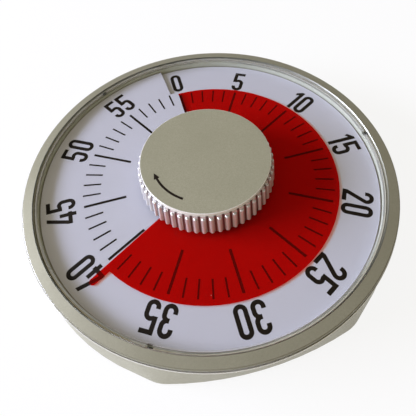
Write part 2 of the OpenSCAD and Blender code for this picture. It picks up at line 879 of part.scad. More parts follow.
module third_arbor() {
  at(third_at) color([0.7, 0.7, 0.72])
    arbor_with_pinion(second_module, second_z, wheel_t, pinion_turn(third_dir, wheel_teeth, second_turn));
}

module escape_arbor() {
  at(escape_at) color([0.7, 0.7, 0.72])
    arbor_with_pinion(third_module, third_z, wheel_t, pinion_turn(escape_dir, wheel_teeth, third_turn));
}

// Pointed teeth, with one of them on the line to the balance
module escape_wheel() {
  root = escape_r - escape_tooth;
  foot = tooth_foot_deg;
  tip = tooth_tip_deg;
  teeth = [for (i = [0:escape_teeth - 1]) let (a = balance_dir + 360 / escape_teeth * i)
    for (p = [[root, a - foot], [escape_r, a - tip], [escape_r, a + tip], [root, a + foot]])
    reach([0, 0], p[0], p[1])];
  at(escape_at) color([0.85, 0.7, 0.35]) translate([0, 0, escape_z]) difference() {
    linear_extrude(wheel_t) polygon(teeth);
    bore(staff_r + snug, wheel_t);
    crossings(staff_r + wheel_hub / 2, root - wheel_rim, 4, spoke_w / 2, wheel_t);
  }
}

// Plain balance with a heavy rim and three arms
module balance_wheel() {
  at(balance_at) color([0.85, 0.7, 0.35]) translate([0, 0, main_wheel_z]) difference() {
    cylinder(r = balance_r, h = balance_t);
    bore(staff_r + snug, balance_t);
    crossings(staff_r + wheel_hub, balance_r - balance_rim, 3, spoke_w, balance_t);
  }
}

// Staff with the roller, whose two pins stand beside the escape wheel's teeth
module balance_staff() {
  at(balance_at) color([0.7, 0.7, 0.72]) {
    staff();
    translate([0, 0, roller_z]) rotate(balance_dir + 180) {
      linear_extrude(roller_t) {
        circle(r = roller_r);
        for (s = [-1, 1]) rotate(s * impulse_deg) {
          translate([0, -finger_r]) square([impulse_at, 2 * finger_r]);
          translate([impulse_at, 0]) circle(r = finger_r);
        }
      }
      for (s = [-1, 1]) rotate(s * impulse_deg) translate([impulse_at, 0, 0])
        cylinder(r = impulse_r, h = escape_z + wheel_t + 2 * fit - roller_z);
    }
  }
}

// Lever whose nose rides on the snail cam, with a short tail that balances it
module trip_lever() {
  nose_at = reach([0, 0], snail_now, snail_dir);
  dir = atan2(nose_at[1] - trip_at[1], nose_at[0] - trip_at[0]);
  nose = trip_len - trip_nose;
  tail = trip_tail[0];
  tail_w = trip_tail[1];
  at(trip_at) color([0.7, 0.7, 0.72]) translate([0, 0, cam_z + (cam_t - lever_t) / 2]) rotate(dir)
  difference() {
    linear_extrude(lever_t) {
      circle(r = lever_hub);
      polygon([[0, -trip_root], [nose, -trip_tip], [nose, trip_tip], [0, trip_root]]);
      polygon([[0, trip_root], [-tail, tail_w], [-tail, -tail_w], [0, -trip_root]]);
    }
    bore(staff_r + snug, lever_t);
  }
}

module trip_staff() {
  at(trip_at) color([0.7, 0.7, 0.72]) staff();
}

module hammer_arm() {
  w = hammer_arm_w;
  at(hammer_at) color([0.7, 0.7, 0.72]) translate([0, 0, hammer_arm_z]) rotate(hammer_dir + 90)
  difference() {
    linear_extrude(hammer_arm_t) {
      circle(r = lever_hub);
      translate([-hammer_tail, -w / 2]) square([hammer_tail + hammer_len, w]);
      translate([hammer_len, 0]) circle(r = hammer_r - 2 * snug);
    }
    bore(staff_r + snug, hammer_arm_t);
    translate([hammer_len, 0, 0]) bore(rivet_r + snug, hammer_arm_t);
  }
}

// Round brass head, riveted through the end of the arm
module hammer_head() {
  at(hammer_head_at) color([0.85, 0.7, 0.35]) translate([0, 0, hammer_arm_z]) {
    translate([0, 0, -hammer_h]) cylinder(r = hammer_r, h = hammer_h);
    translate([0, 0, -weld]) cylinder(r = rivet_r, h = weld + hammer_arm_t + weld);
  }
}

module hammer_staff() {
  at(hammer_at) color([0.7, 0.7, 0.72]) staff();
}

// Plate with round corners, its pivot holes and a window over the mainspring's side
module movement_plate(main_hole, post_hole) {
  lo = plate_lo + [plate_corner, plate_corner];
  hi = plate_hi - [plate_corner, plate_corner];
  difference() {
    linear_extrude(plate_t) {
      translate([lo[0], plate_lo[1]]) square([hi[0] - lo[0], plate_hi[1] - plate_lo[1]]);
      translate([plate_lo[0], lo[1]]) square([plate_hi[0] - plate_lo[0], hi[1] - lo[1]]);
      for (x = [lo[0], hi[0]]) for (y = [lo[1], hi[1]]) translate([x, y]) circle(r = plate_corner);
    }
    for (p = [second_at, third_at, escape_at, balance_at, trip_at, hammer_at])
      at(p) bore(pivot_r + run, plate_t);
    bore(main_hole + run, plate_t);
    for (p = pillar_at) at(p) bore(post_hole + snug, plate_t);
    at(window_at) bore(window_r, plate_t);
  }
}

module rear_plate() {
  color([0.85, 0.7, 0.35]) translate([0, 0, rear_z]) movement_plate(main_pivot_r, spigot_r);
}

module front_plate() {
  color([0.85, 0.7, 0.35]) translate([0, 0, front_z]) difference() {
    movement_plate(arbor_r, pillar_screw_r);
    at(post_at) bore(post_r + snug, plate_t);
  }
}

module pillars() {
  hole_l = pillar_screw_l + past;
  color([0.8, 0.66, 0.34]) for (p = pillar_at) at(p) difference() {
    union() {
      translate([0, 0, between_z]) cylinder(r = pillar_r, h = plates_gap);
      translate([0, 0, rear_z - spigot_l]) cylinder(r = spigot_r, h = spigot_l + plate_t);
    }
    translate([0, 0, front_z - hole_l]) cylinder(r = pillar_screw_r + snug, h = hole_l + past);
  }
}

module pillar_screws() {
  head_z = front_z + plate_t;
  color([0.75, 0.75, 0.77]) for (p = pillar_at) at(p) difference() {
    union() {
      translate([0, 0, head_z]) cylinder(r = pillar_screw_head, h = screw_head);
      translate([0, 0, front_z - pillar_screw_l])
        cylinder(r = pillar_screw_r, h = pillar_screw_l + plate_t + weld);
    }
    translate([-pillar_screw_head - past, -driver_slot[0] / 2, head_z + screw_head - driver_slot[1]])
      cube([2 * pillar_screw_head + 2 * past, driver_slot[0], screw_head]);
  }
}

// ---------------------------------------------------------------- bell

// Half section of the bell, or of its hollow where a thickness is given
module bell_section(inset) {
  low = inset > 0 ? bell_z - past : bell_z;
  corner = bell_r - inset - bell_shoulder;
  polygon(concat(
    [[0, bell_crown - inset]],
    [for (a = [90:-10:0]) [
      corner + bell_shoulder * cos(a), bell_crown - inset - bell_shoulder + bell_shoulder * sin(a)
    ]],
    [[bell_r - inset, low], [0, low]]
  ));
}

module bell() {
  at(bell_at) color([0.8, 0.8, 0.82]) rotate_extrude() difference() {
    bell_section(0);
    bell_section(bell_t);
    square([bell_stud_r + snug, case_h]);
  }
}

// Post with a shoulder under the bell and a stud that takes the nut
module bell_post() {
  stud_z = bell_pad_z - floor_t;
  at(bell_at) color([0.7, 0.7, 0.72]) {
    translate([0, 0, bell_pad_z]) cylinder(r = bell_post_r, h = bell_crown - bell_t - bell_pad_z);
    translate([0, 0, stud_z]) cylinder(r = bell_stud_r, h = bell_crown + bell_nut_h + pass - stud_z);
  }
}

module bell_nut() {
  at(bell_at) color([0.75, 0.75, 0.77]) translate([0, 0, bell_crown]) difference() {
    cylinder(r = bell_nut_r, h = bell_nut_h, $fn = 6);
    bore(bell_stud_r + snug, bell_nut_h);
  }
}

// ---------------------------------------------------------------- fasteners and back

module housing_screws() {
  head_z = counter_z - case_head_h;
  color([0.75, 0.75, 0.77]) each_screw() translate([0, 0, head_z]) difference() {
    union() {
      cylinder(r = case_screw_head, h = case_head_h);
      translate([0, 0, case_head_h - weld])
        cylinder(r = case_screw_shank, h = case_boss_top + case_thread - counter_z);
    }
    translate([0, 0, -past]) cross_recess(case_screw_head - 1.3, cross_t, past + case_head_h / 2);
  }
}

module magnets() {
  color([0.7, 0.7, 0.72]) for (p = magnet_at) at(p) translate([0, 0, magnet_z])
    cylinder(r = magnet_r, h = magnet_t);
}

// Leg with a knuckle round the pin, a heel that stops it at its open angle and a
// shallow dish along its inner side
module stand_leg() {
  half = leg_w / 2;
  color([0.72, 0.73, 0.68]) difference() {
    union() {
      translate([0, leg_pivot[0], leg_face]) linear_extrude(leg_t) {
        translate([-half, leg_corner - leg_l]) square([leg_w, leg_l - leg_corner]);
        translate([leg_corner - half, -leg_l]) square([leg_w - 2 * leg_corner, leg_l]);
        for (s = [-1, 1]) translate([s * (half - leg_corner), leg_corner - leg_l])
          circle(r = leg_corner);
      }
      translate([-half, leg_pivot[0], leg_pivot[1]]) rotate([0, 90, 0])
        cylinder(r = knuckle_r, h = leg_w);
      translate([-half / 2, leg_pivot[0], leg_pivot[1] - heel_t / 2]) cube([half, heel_l, heel_t]);
    }
    translate([-half - past, leg_pivot[0], leg_pivot[1]]) rotate([0, 90, 0])
      cylinder(r = leg_pin_r + run, h = leg_w + 2 * past);
    translate([leg_dish[0] - half, leg_pivot[0] - leg_l + leg_dish[1], leg_face + leg_t - leg_dish[2]])
      cube([leg_w - 2 * leg_dish[0], leg_l - 2 * leg_dish[1], leg_dish[2] + past]);
  }
}

module stand_pin() {
  color([0.7, 0.7, 0.72])
    translate([-leg_w / 2 - pocket_wall, leg_pivot[0], leg_pivot[1]]) rotate([0, 90, 0])
    cylinder(r = leg_pin_r, h = leg_w + 2 * pocket_wall);
}

back_shell();
dial_carrier();
dial_plate();
red_film();
film_hub();
lens();
bezel();
knob_body();
knob_cap();
knob_screw();
main_arbor();
main_wheel();
clutch_washer();
snail_cam();
mainspring();
spring_post();
second_wheel();
second_arbor();
third_wheel();
third_arbor();
escape_wheel();
escape_arbor();
balance_wheel();
balance_staff();
trip_lever();
trip_staff();
hammer_arm();
hammer_head();
hammer_staff();
rear_plate();
front_plate();
pillars();
pillar_screws();
bell();
bell_post();
bell_nut();
housing_screws();
magnets();
stand_leg();
stand_pin();
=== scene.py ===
# %% [markdown]
# # A wind-up countdown timer, dressed for its portrait
# The timer arrives as a frame of finished solids: case, dial, film, knob and the clockwork
# behind them. This lesson gives each solid the finish of the real one, prints the dial,
# and lights the whole on a pale table. Sizes are written in millimetres, because that is
# how such a product is drawn, and one factor turns them into Blender's metres. The knob's
# axis is Z, the 0 of the dial lies towards +Y and the 15 towards +X.

# %% Load the frame
import bpy
import bmesh
from math import atan2, cos, degrees, hypot, pi, radians, sin, tan
from mathutils import Matrix, Vector


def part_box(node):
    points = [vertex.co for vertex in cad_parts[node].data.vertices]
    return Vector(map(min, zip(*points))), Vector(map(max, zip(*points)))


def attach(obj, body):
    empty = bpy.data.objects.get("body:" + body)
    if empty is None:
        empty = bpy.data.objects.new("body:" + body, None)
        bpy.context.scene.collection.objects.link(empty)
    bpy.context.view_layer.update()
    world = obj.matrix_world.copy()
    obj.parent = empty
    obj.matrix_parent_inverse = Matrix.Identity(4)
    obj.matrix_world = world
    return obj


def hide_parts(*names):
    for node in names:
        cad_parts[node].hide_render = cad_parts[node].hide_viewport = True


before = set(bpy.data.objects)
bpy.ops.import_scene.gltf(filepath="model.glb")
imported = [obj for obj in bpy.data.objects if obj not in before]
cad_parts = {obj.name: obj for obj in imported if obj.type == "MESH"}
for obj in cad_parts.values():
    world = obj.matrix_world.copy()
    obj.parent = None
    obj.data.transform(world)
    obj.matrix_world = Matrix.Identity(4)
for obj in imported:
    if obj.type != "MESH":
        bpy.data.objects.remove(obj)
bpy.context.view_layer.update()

MM = 0.001

# %% [markdown]
# ## Camera
# The timer lies on its back and is looked at from close by and from low in front, so the
# far side of the ring looks smaller than the near side. A camera can be aimed by hand with
# constraints, but three turns and a distance say exactly where it stands: a turn round the
# vertical, a height above the table, and a small roll. Two small steps, aside and down,
# then frame the timer.

# %% Camera from a turn, a height and a roll
def camera_axes(turn, height, roll):
    """Right, up and backward directions of a camera that looks down at the dial."""
    back = Vector((sin(turn) * cos(height), -cos(turn) * cos(height), sin(height)))
    right = Vector((0, 0, 1)).cross(back).normalized()
    up = back.cross(right)
    return (right * cos(roll) + up * sin(roll), up * cos(roll) - right * sin(roll), back)


def add_camera(turn, height, roll, distance, aside, above, aim, lens):
    right, up, back = camera_axes(turn, height, roll)
    place = aim + back * distance + right * aside - up * above
    data = bpy.data.cameras.new("portrait_camera")
    data.lens = lens
    data.clip_start = 10 * MM
    camera = bpy.data.objects.new("portrait_camera", data)
    turned = Matrix((right, up, back)).transposed().to_4x4()
    camera.matrix_world = Matrix.Translation(place) @ turned
    bpy.context.scene.collection.objects.link(camera)
    bpy.context.scene.camera = camera
    print("camera stands at", [round(c / MM) for c in place], "mm")


add_camera(turn=radians(-9.0), height=radians(59.26), roll=radians(-6.6), distance=197.6 * MM,
           aside=0.59 * MM, above=16.27 * MM, aim=Vector((0, 0, 23 * MM)), lens=32.5)

# %% [markdown]
# ## Nodes for the materials
# A procedural material is a small network. Every node is made the same way: choose its
# kind, set its options, fill its sockets with numbers or plug in another node's output.
# One function does all of that. Colours are written as on a paint chart, in sRGB hex, and
# one function turns them into the linear numbers that light is reckoned in.

# %% Helpers for colours, nodes and materials
def paint(code):
    """Linear RGBA of an sRGB hex colour such as "B4B7A8", by the curve of the standard."""
    parts = [int(code[i:i + 2], 16) / 255 for i in (0, 2, 4)]
    return [p / 12.92 if p <= 0.04045 else ((p + 0.055) / 1.055) ** 2.4 for p in parts] + [1.0]


def add(tree, kind, sockets=None, **options):
    """Adds a node. sockets maps input names to a value or to the output of another node."""
    node = tree.nodes.new("ShaderNode" + kind)
    for name, value in options.items():
        setattr(node, name, value)
    for name, value in (sockets or {}).items():
        if isinstance(value, bpy.types.NodeSocket):
            tree.links.new(value, node.inputs[name])
        else:
            node.inputs[name].default_value = value
    return node


def new_material(name):
    material = bpy.data.materials.new(name)
    material.use_nodes = True
    material.node_tree.nodes.clear()
    return material, material.node_tree


print("the middle grey 808080 is", round(paint("808080")[0], 3), "in linear light")

# %% [markdown]
# ## A pen for the numerals
# The numbers on such a dial are screen-printed in a narrow, even-stroked face like the one
# on drawings and road signs. A font file could be typed out and turned to a mesh, but the
# letterform is only straight runs and arcs of one width. So the nib is a single edge as
# long as the stroke is wide: extruding it draws a straight run, spinning it about a point
# draws a bow, and the last edge stays selected for the next move. Corners are found by
# their place: TOUCH is how near counts as there, and corners closer than WELD become one.

# %% Nib, moves and branches
NUMERAL_HEIGHT = 15.2
STROKE = 2.1
BOW_STEPS = 20
TOUCH = 0.05
WELD = 0.02


def select_only(obj=None):
    if bpy.context.object and bpy.context.object.mode != "OBJECT":
        bpy.ops.object.mode_set(mode="OBJECT")
    bpy.ops.object.select_all(action="DESELECT")
    if obj:
        obj.select_set(True)
        bpy.context.view_layer.objects.active = obj


def pick(obj, chosen, what="VERT"):
    """In edit mode, selects only the vertices, edges or faces whose middle is chosen, in mm."""
    bpy.ops.mesh.select_mode(type=what)
    bpy.ops.mesh.select_all(action="DESELECT")
    mesh = bmesh.from_edit_mesh(obj.data)
    parts = {"VERT": mesh.verts, "EDGE": mesh.edges, "FACE": mesh.faces}[what]
    for part in parts:
        corners = [part] if what == "VERT" else part.verts
        middle = sum((v.co for v in corners), Vector()) / len(corners) / MM
        if chosen(middle):
            part.select_set(True)
    mesh.select_flush_mode()
    bmesh.update_edit_mesh(obj.data)


def near(x, y):
    return lambda middle: hypot(middle.x - x, middle.y - y) < TOUCH


def nib(name, x, y, length=STROKE, upright=False):
    """A new object in edit mode: one selected edge, centred on x, y in mm."""
    select_only()
    bpy.ops.mesh.primitive_plane_add(size=length * MM)
    obj = bpy.context.object
    obj.name = name
    bpy.ops.object.mode_set(mode="EDIT")
    pick(obj, lambda m: (m.x if upright else m.y) < 0)
    bpy.ops.mesh.delete(type="VERT")
    bpy.ops.mesh.select_mode(type="EDGE")
    bpy.ops.mesh.select_all(action="SELECT")
    back = length / 2
    shift = (x - back, y) if upright else (x, y - back)
    bpy.ops.transform.translate(value=(shift[0] * MM, shift[1] * MM, 0))
    return obj


def run(dx, dy):
    bpy.ops.mesh.extrude_region_move(TRANSFORM_OT_translate={"value": (dx * MM, dy * MM, 0)})


def bow(x, y, clockwise):
    """Spins the nib about x, y in mm. A negative angle goes anticlockwise."""
    bpy.ops.mesh.spin(steps=BOW_STEPS, angle=radians(clockwise), center=(x * MM, y * MM, 0),
                      axis=(0, 0, 1))


def drag(obj, start, end):
    """Moves the corner at start to end, then gives the nib back its selection."""
    kept = [tuple(v.co) for v in bmesh.from_edit_mesh(obj.data).verts if v.select]
    pick(obj, near(*start))
    bpy.ops.transform.translate(value=((end[0] - start[0]) * MM, (end[1] - start[1]) * MM, 0))
    moved = Vector((end[0] * MM, end[1] * MM, 0))
    old = Vector((start[0] * MM, start[1] * MM, 0))
    places = [moved if (Vector(c) - old).length < TOUCH * MM else Vector(c) for c in kept]
    pick(obj, lambda m: any((m * MM - p).length < WELD / 2 * MM for p in places))
    bpy.ops.mesh.select_mode(type="EDGE")


def branch(obj, x, y):
    """Puts the nib on the edge whose middle is at x, y."""
    pick(obj, near(x, y), "EDGE")


def lift_pen(obj):
    """Closes the outline where it meets itself, turns it face up and leaves edit mode."""
    bpy.ops.mesh.select_all(action="SELECT")
    bpy.ops.mesh.remove_doubles(threshold=WELD * MM)
    bpy.ops.mesh.normals_make_consistent(inside=False)
    mesh = bmesh.from_edit_mesh(obj.data)
    if sum(f.normal.z for f in mesh.faces) < 0:
        bpy.ops.mesh.flip_normals()
    bpy.ops.object.mode_set(mode="OBJECT")
    return obj


print("stroke", STROKE, "mm in a numeral", NUMERAL_HEIGHT, "mm high")

# %% [markdown]
# ## Six digits
# Only the digits 0 to 5 are needed, because the dial is numbered in fives up to 55. Each is
# drawn once, with its lower left corner at the origin: 0 is two runs and two bows, 1 a stem
# with a flag, 2 a bow that slides into a slanting run, 3 half a digit that a Mirror
# completes, 4 a slant with a crossbar and a stem that branches off it, and 5 a bar, a short
# upright and a bow.

# %% Draw the digits
HALF = STROKE / 2
TOP = NUMERAL_HEIGHT


def draw_0():
    width = 6.4
    middle = width / 2
    obj = nib("digit_0", width - HALF, TOP / 2)
    run(0, TOP / 2 - middle)
    bow(middle, TOP - middle, -180)
    run(0, width - TOP)
    bow(middle, middle, -180)
    run(0, TOP / 2 - middle)
    return lift_pen(obj), width


def draw_1():
    stem, flag, dip = 2.1, 12.0, 2.0
    tip_drop, tip_in, tip_lift, shoulder = 0.8, 0.6, 0.7, 0.7
    obj = nib("digit_1", stem + HALF, 0)
    run(0, flag)
    run(0, TOP - flag)
    branch(obj, stem, (TOP + flag) / 2)
    run(-stem, -dip)
    drag(obj, (0, TOP - dip), (0, TOP - dip - tip_drop))
    drag(obj, (0, flag - dip), (tip_in, flag - dip + tip_lift))
    drag(obj, (stem, TOP), (stem + shoulder, TOP))
    return lift_pen(obj), stem + STROKE


def draw_2():
    width, tail, lean = 6.7, 10.9, radians(25.8)
    middle = width / 2
    bow_y = TOP - middle
    arm = middle - HALF
    obj = nib("digit_2", HALF, tail)
    run(0, bow_y - tail)
    bow(middle, bow_y, 180 + degrees(lean))
    drop = bow_y - arm * sin(lean) - STROKE
    run(-drop * tan(lean), -drop)
    foot = middle + arm * cos(lean) - drop * tan(lean)
    heel = foot + HALF / cos(lean)
    drag(obj, (foot - HALF * cos(lean), STROKE + HALF * sin(lean)), (0, STROKE))
    drag(obj, (foot + HALF * cos(lean), STROKE - HALF * sin(lean)), (heel, STROKE))
    run(0, -STROKE)
    drag(obj, (heel, 0), (heel - STROKE * tan(lean), 0))
    branch(obj, heel - HALF * tan(lean), HALF)
    run(width - heel, 0)
    drag(obj, (width - STROKE * tan(lean), 0), (width, 0))
    return lift_pen(obj), width


def draw_3():
    width, tail, lower_bow, tongue = 6.6, 10.9, 9.9, 0.6
    middle = width / 2
    obj = nib("digit_3", HALF, tail)
    run(0, TOP - middle - tail)
    bow(middle, TOP - middle, 180)
    run(0, lower_bow - TOP + middle)
    bow(middle, lower_bow, 90)
    run(-tongue, 0)
    bpy.ops.mesh.select_all(action="SELECT")
    bpy.ops.mesh.bisect(plane_co=(0, TOP / 2 * MM, 0), plane_no=(0, 1, 0), clear_inner=True)
    lift_pen(obj)
    select_only(obj)
    bpy.context.scene.cursor.location = (0, TOP / 2 * MM, 0)
    bpy.ops.object.origin_set(type="ORIGIN_CURSOR")
    mirror = obj.modifiers.new("lower_half", "MIRROR")
    mirror.use_axis = (False, True, False)
    mirror.merge_threshold = TOUCH * MM
    bpy.ops.object.modifier_apply(modifier=mirror.name)
    bpy.context.scene.cursor.location = (0, 0, 0)
    bpy.ops.object.origin_set(type="ORIGIN_CURSOR")
    bpy.ops.object.mode_set(mode="EDIT")
    return lift_pen(obj), width


def draw_4():
    width, slant, bar, stem, stem_top = 7.2, 4.2, 2.1, 4.5, 8.5
    bar_top = bar + STROKE
    obj = nib("digit_4", slant, TOP)
    run(HALF - slant, bar_top - TOP)
    run(0, -STROKE)
    branch(obj, STROKE, bar + HALF)
    run(stem - STROKE, 0)
    run(STROKE, 0)
    run(width - stem - STROKE, 0)
    branch(obj, stem + HALF, bar_top)
    run(0, stem_top - bar_top)
    branch(obj, stem + HALF, bar)
    run(0, -bar)
    return lift_pen(obj), width


def draw_5():
    width, bowl_top, foot, tail, crotch = 6.4, 9.6, 7.1, 3.8, 0.3
    middle = width / 2
    obj = nib("digit_5", HALF, TOP)
    run(0, -STROKE)
    run(0, bowl_top - crotch - TOP + STROKE)
    run(0, foot - bowl_top + crotch)
    branch(obj, STROKE, TOP - HALF)
    run(width - STROKE, 0)
    branch(obj, STROKE, (foot + bowl_top - crotch) / 2)
    run(middle - STROKE, 0)
    drag(obj, (middle, bowl_top - crotch), (middle, bowl_top))
    drag(obj, (middle, foot), (middle, bowl_top - STROKE))
    bow(middle, bowl_top - middle, 90)
    run(0, width - bowl_top)
    bow(middle, middle, 180)
    run(0, tail - middle)
    return lift_pen(obj), width


digits = [draw() for draw in (draw_0, draw_1, draw_2, draw_3, draw_4, draw_5)]
for number, (obj, width) in enumerate(digits):
    print("digit", number, "is", width, "mm wide and has", len(obj.data.polygons), "faces")

# %% [markdown]
# ## Printing on a sloping dial
# The dial is one turn of a very flat screw, so that the film can climb over its cut edge.
# Ink has to follow it. A flat print laid over it would sink in on one side, so each print is
# first dropped straight down on the dial with a Shrinkwrap, then given the thickness of a
# generous coat of ink with a Solidify.

# %% Copy, place and print
INK = 0.03
INK_SUNK = 0.01
DROP = 1.0
MINUTE_TURN = 6


def copy_at(obj, moved):
    """A copy with its own mesh, moved by a matrix that is applied to the mesh."""
    twin = obj.copy()
    twin.data = obj.data.copy()
    twin.data.transform(moved)
    bpy.context.scene.collection.objects.link(twin)
    return twin


def join(parts, name):
    select_only(parts[0])
    for part in parts:
        part.select_set(True)
    bpy.ops.object.join()
    parts[0].name = parts[0].data.name = name
    return parts[0]


def apply_modifiers(obj):
    select_only(obj)
    for modifier in list(obj.modifiers):
        bpy.ops.object.modifier_apply(modifier=modifier.name)


def print_on(obj, node, height):
    """Drops a flat outline from height, in mm, on a node and gives it the thickness of ink."""
    obj.data.transform(Matrix.Translation((0, 0, height * MM)))
    drop = obj.modifiers.new("drop", "SHRINKWRAP")
    drop.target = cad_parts[node]
    drop.wrap_method = "PROJECT"
    drop.use_project_z = True
    drop.use_negative_direction = True
    drop.use_positive_direction = False
    drop.offset = (INK - INK_SUNK) * MM
    coat = obj.modifiers.new("coat", "SOLIDIFY")
    coat.thickness = INK * MM
    coat.offset = -1
    apply_modifiers(obj)
    heights = [v.co.z / MM for v in obj.data.vertices]
    print(obj.name, "lies from", round(min(heights), 2), "to", round(max(heights), 2), "mm, with",
          len(obj.data.polygons), "faces")


def at_minute(minute, radius, aside=0.0):
    """Turns an upright outline to a minute of the dial and moves it out to a radius."""
    turn = Matrix.Rotation(radians(-MINUTE_TURN * minute), 4, "Z")
    return turn @ Matrix.Translation((aside * MM, radius * MM, 0))


print("ink stands", round(INK - INK_SUNK, 3), "mm proud")

# %% [markdown]
# ## The numbers
# Every fifth minute has its number, feet towards the hub. A screen print is set by eye, and
# the pairs don't sit exactly on their marks, so each has its own small steps to the side and
# outwards.

# %% Set the twelve numbers
NUMERAL_FOOT = 68.3
PAIR_GAP = 1.4
STEPS = {0: (0.1, 0.0), 5: (-0.3, -1.3), 10: (1.6, -0.4), 15: (0.3, 0.8),
         20: (-1.7, 0.5), 25: (0.3, 0.2), 30: (0.0, 0.8), 35: (0.2, 0.3),
         40: (2.1, 0.6), 45: (-0.1, 0.8), 50: (0.9, -0.4), 55: (0.6, -0.5)}


def set_number(minute):
    glyphs = [digits[int(c)] for c in str(minute)]
    total = sum(width for _, width in glyphs) + PAIR_GAP * (len(glyphs) - 1)
    aside, outwards = STEPS[minute]
    left = -total / 2 + aside
    placed = []
    for obj, width in glyphs:
        placed.append(copy_at(obj, at_minute(minute, NUMERAL_FOOT + outwards, left)))
        left += width + PAIR_GAP
    return placed


above_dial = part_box("dial_plate")[1].z / MM + DROP
numerals = join([obj for minute in STEPS for obj in set_number(minute)], "minute_numerals")
print_on(numerals, "dial_plate", above_dial)
for obj, width in digits:
    bpy.data.objects.remove(obj)

# %% [markdown]
# ## The scale
# A long bar stands at every fifth minute and four short ones between. A mark is drawn once,
# as a bar whose corners are eased by a bevel, because ink draws back from sharp corners.

# %% Draw the marks
CORNER_EASE = 0.12


def draw_mark(name, wide, long):
    select_only()
    bpy.ops.mesh.primitive_plane_add(size=1)
    obj = bpy.context.object
    obj.name = name
    bpy.ops.object.mode_set(mode="EDIT")
    bpy.ops.transform.resize(value=(wide * MM, long * MM, 1))
    bpy.ops.transform.translate(value=(0, long / 2 * MM, 0))
    bpy.ops.mesh.bevel(offset=CORNER_EASE * MM, segments=2, affect="VERTICES")
    bpy.ops.object.mode_set(mode="OBJECT")
    return obj


def ring_of_marks(name, wide, inner, outer, minutes):
    mark = draw_mark(name + "_mark", wide, outer - inner)
    marks = join([copy_at(mark, at_minute(minute, inner)) for minute in minutes], name)
    bpy.data.objects.remove(mark)
    print_on(marks, "dial_plate", above_dial)
    return marks


five_minute_marks = ring_of_marks("five_minute_marks", wide=1.4, inner=43, outer=65,
                                  minutes=range(0, 60, 5))
minute_marks = ring_of_marks("minute_marks", wide=0.95, inner=56, outer=65.4,
                             minutes=[m for m in range(60) if m % 5])

# %% [markdown]
# ## The arrow on the knob
# The arrow says which way to wind. It is the same pen: a thin nib swings round the knob's
# axis, then widens to the barbs and closes to a point. The pen starts on the X axis, where
# the minute 15 is, so the finished arrow is turned from there to its own place.

# %% Draw the arrow
ARROW_RADIUS = 25.7
ARROW_STROKE = 1.15
ARROW_FROM, ARROW_TO = 36.2, 42.8
HEAD_WIDE, HEAD_LONG, HEAD_EASE = 3.0, 3.6, 0.15
PEN_MINUTE = 15


def draw_arrow():
    sweep = MINUTE_TURN * (ARROW_TO - ARROW_FROM)
    obj = nib("cap_arrow", ARROW_RADIUS, 0, ARROW_STROKE)
    bow(0, 0, sweep)
    end = radians(-sweep)
    middle = Vector((cos(end), sin(end), 0)) * ARROW_RADIUS * MM
    along = Vector((sin(end), -cos(end), 0))
    barb = along * HEAD_EASE
    run(barb.x, barb.y)
    bpy.ops.transform.resize(value=(HEAD_WIDE / ARROW_STROKE,) * 3,
                             center_override=middle + barb * MM)
    step = along * (HEAD_LONG - HEAD_EASE)
    run(step.x, step.y)
    bpy.ops.mesh.merge(type="CENTER")
    lift_pen(obj)
    turn = radians(-MINUTE_TURN * (ARROW_FROM - PEN_MINUTE))
    obj.data.transform(Matrix.Rotation(turn, 4, "Z"))
    return obj


arrow = draw_arrow()
print_on(arrow, "knob_cap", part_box("knob_cap")[1].z / MM + DROP)

# %% [markdown]
# ## The lip of the housing
# Under the ring of the bezel the housing ends in a narrow lip with a groove inside it. The
# groove keeps the two mouldings visibly apart, where a plain butt joint would show every
# burr. It is a profile swept once round the axis, so a ring of as many corners is pulled into
# the outline, and a spin does the rest. A squeeze then draws the lip in by a third of a
# millimetre at the left and the right, where the joint closes up.

# %% Spin the lip
LIP_PROFILE = [(94.0, 22.6), (94.6, 22.6), (95.5, 23.6), (95.7, 24.1), (95.7, 24.7),
               (95.62, 24.88), (95.45, 24.95), (95.32, 24.85), (95.28, 24.2), (94.0, 24.2)]
LIP_STEPS = 180
LIP_SQUEEZE = 0.9962
SMOOTH_ANGLE = 40


def spin_profile(name, profile, steps):
    """Sweeps a closed outline of radius and height pairs, in mm, once round the axis."""
    select_only()
    bpy.ops.mesh.primitive_circle_add(vertices=len(profile), radius=MM)
    obj = bpy.context.object
    obj.name = obj.data.name = name
    bpy.ops.object.mode_set(mode="EDIT")
    mesh = bmesh.from_edit_mesh(obj.data)
    mesh.verts.ensure_lookup_table()
    for corner, (radius, height) in zip(mesh.verts, profile):
        corner.co = (radius * MM, 0, height * MM)
    bmesh.update_edit_mesh(obj.data)
    bpy.ops.mesh.select_all(action="SELECT")
    bpy.ops.mesh.spin(steps=steps, angle=2 * pi, center=(0, 0, 0), axis=(0, 0, 1))
    bpy.ops.mesh.select_all(action="SELECT")
    bpy.ops.mesh.remove_doubles(threshold=WELD * MM)
    bpy.ops.mesh.normals_make_consistent(inside=False)
    bpy.ops.object.mode_set(mode="OBJECT")
    bpy.ops.object.shade_smooth_by_angle(angle=radians(SMOOTH_ANGLE))
    return obj


housing_lip = spin_profile("housing_lip", LIP_PROFILE, LIP_STEPS)
housing_lip.data.transform(Matrix.Diagonal((LIP_SQUEEZE, 1, 1, 1)))
print("lip reaches", max(radius for radius, _ in LIP_PROFILE), "mm from the axis, with",
      len(housing_lip.data.polygons), "faces")

# %% [markdown]
# ## The film's edge
# The film's edge is no true circle about the hub. It runs slowly outwards from the cut in
# the dial to the pointer, like the edge of a snail cam. The frame's film has a round edge,
# so a copy takes its place. Its loose triangles are merged to one closed skin, and then every
# corner of that edge is moved along its own radius. The height stays, because a screw
# surface depends on the direction alone. So flat a sheet needs no smoothed shading.

# %% Run the film's edge outwards
FILM_EDGE = 67.0
EDGE_REACH = 0.1
LOOSE = 0.002
EDGE_BEHIND, EDGE_GAIN, EDGE_TURN = 1.35, 2.75, 212
POINTER_AT = 239


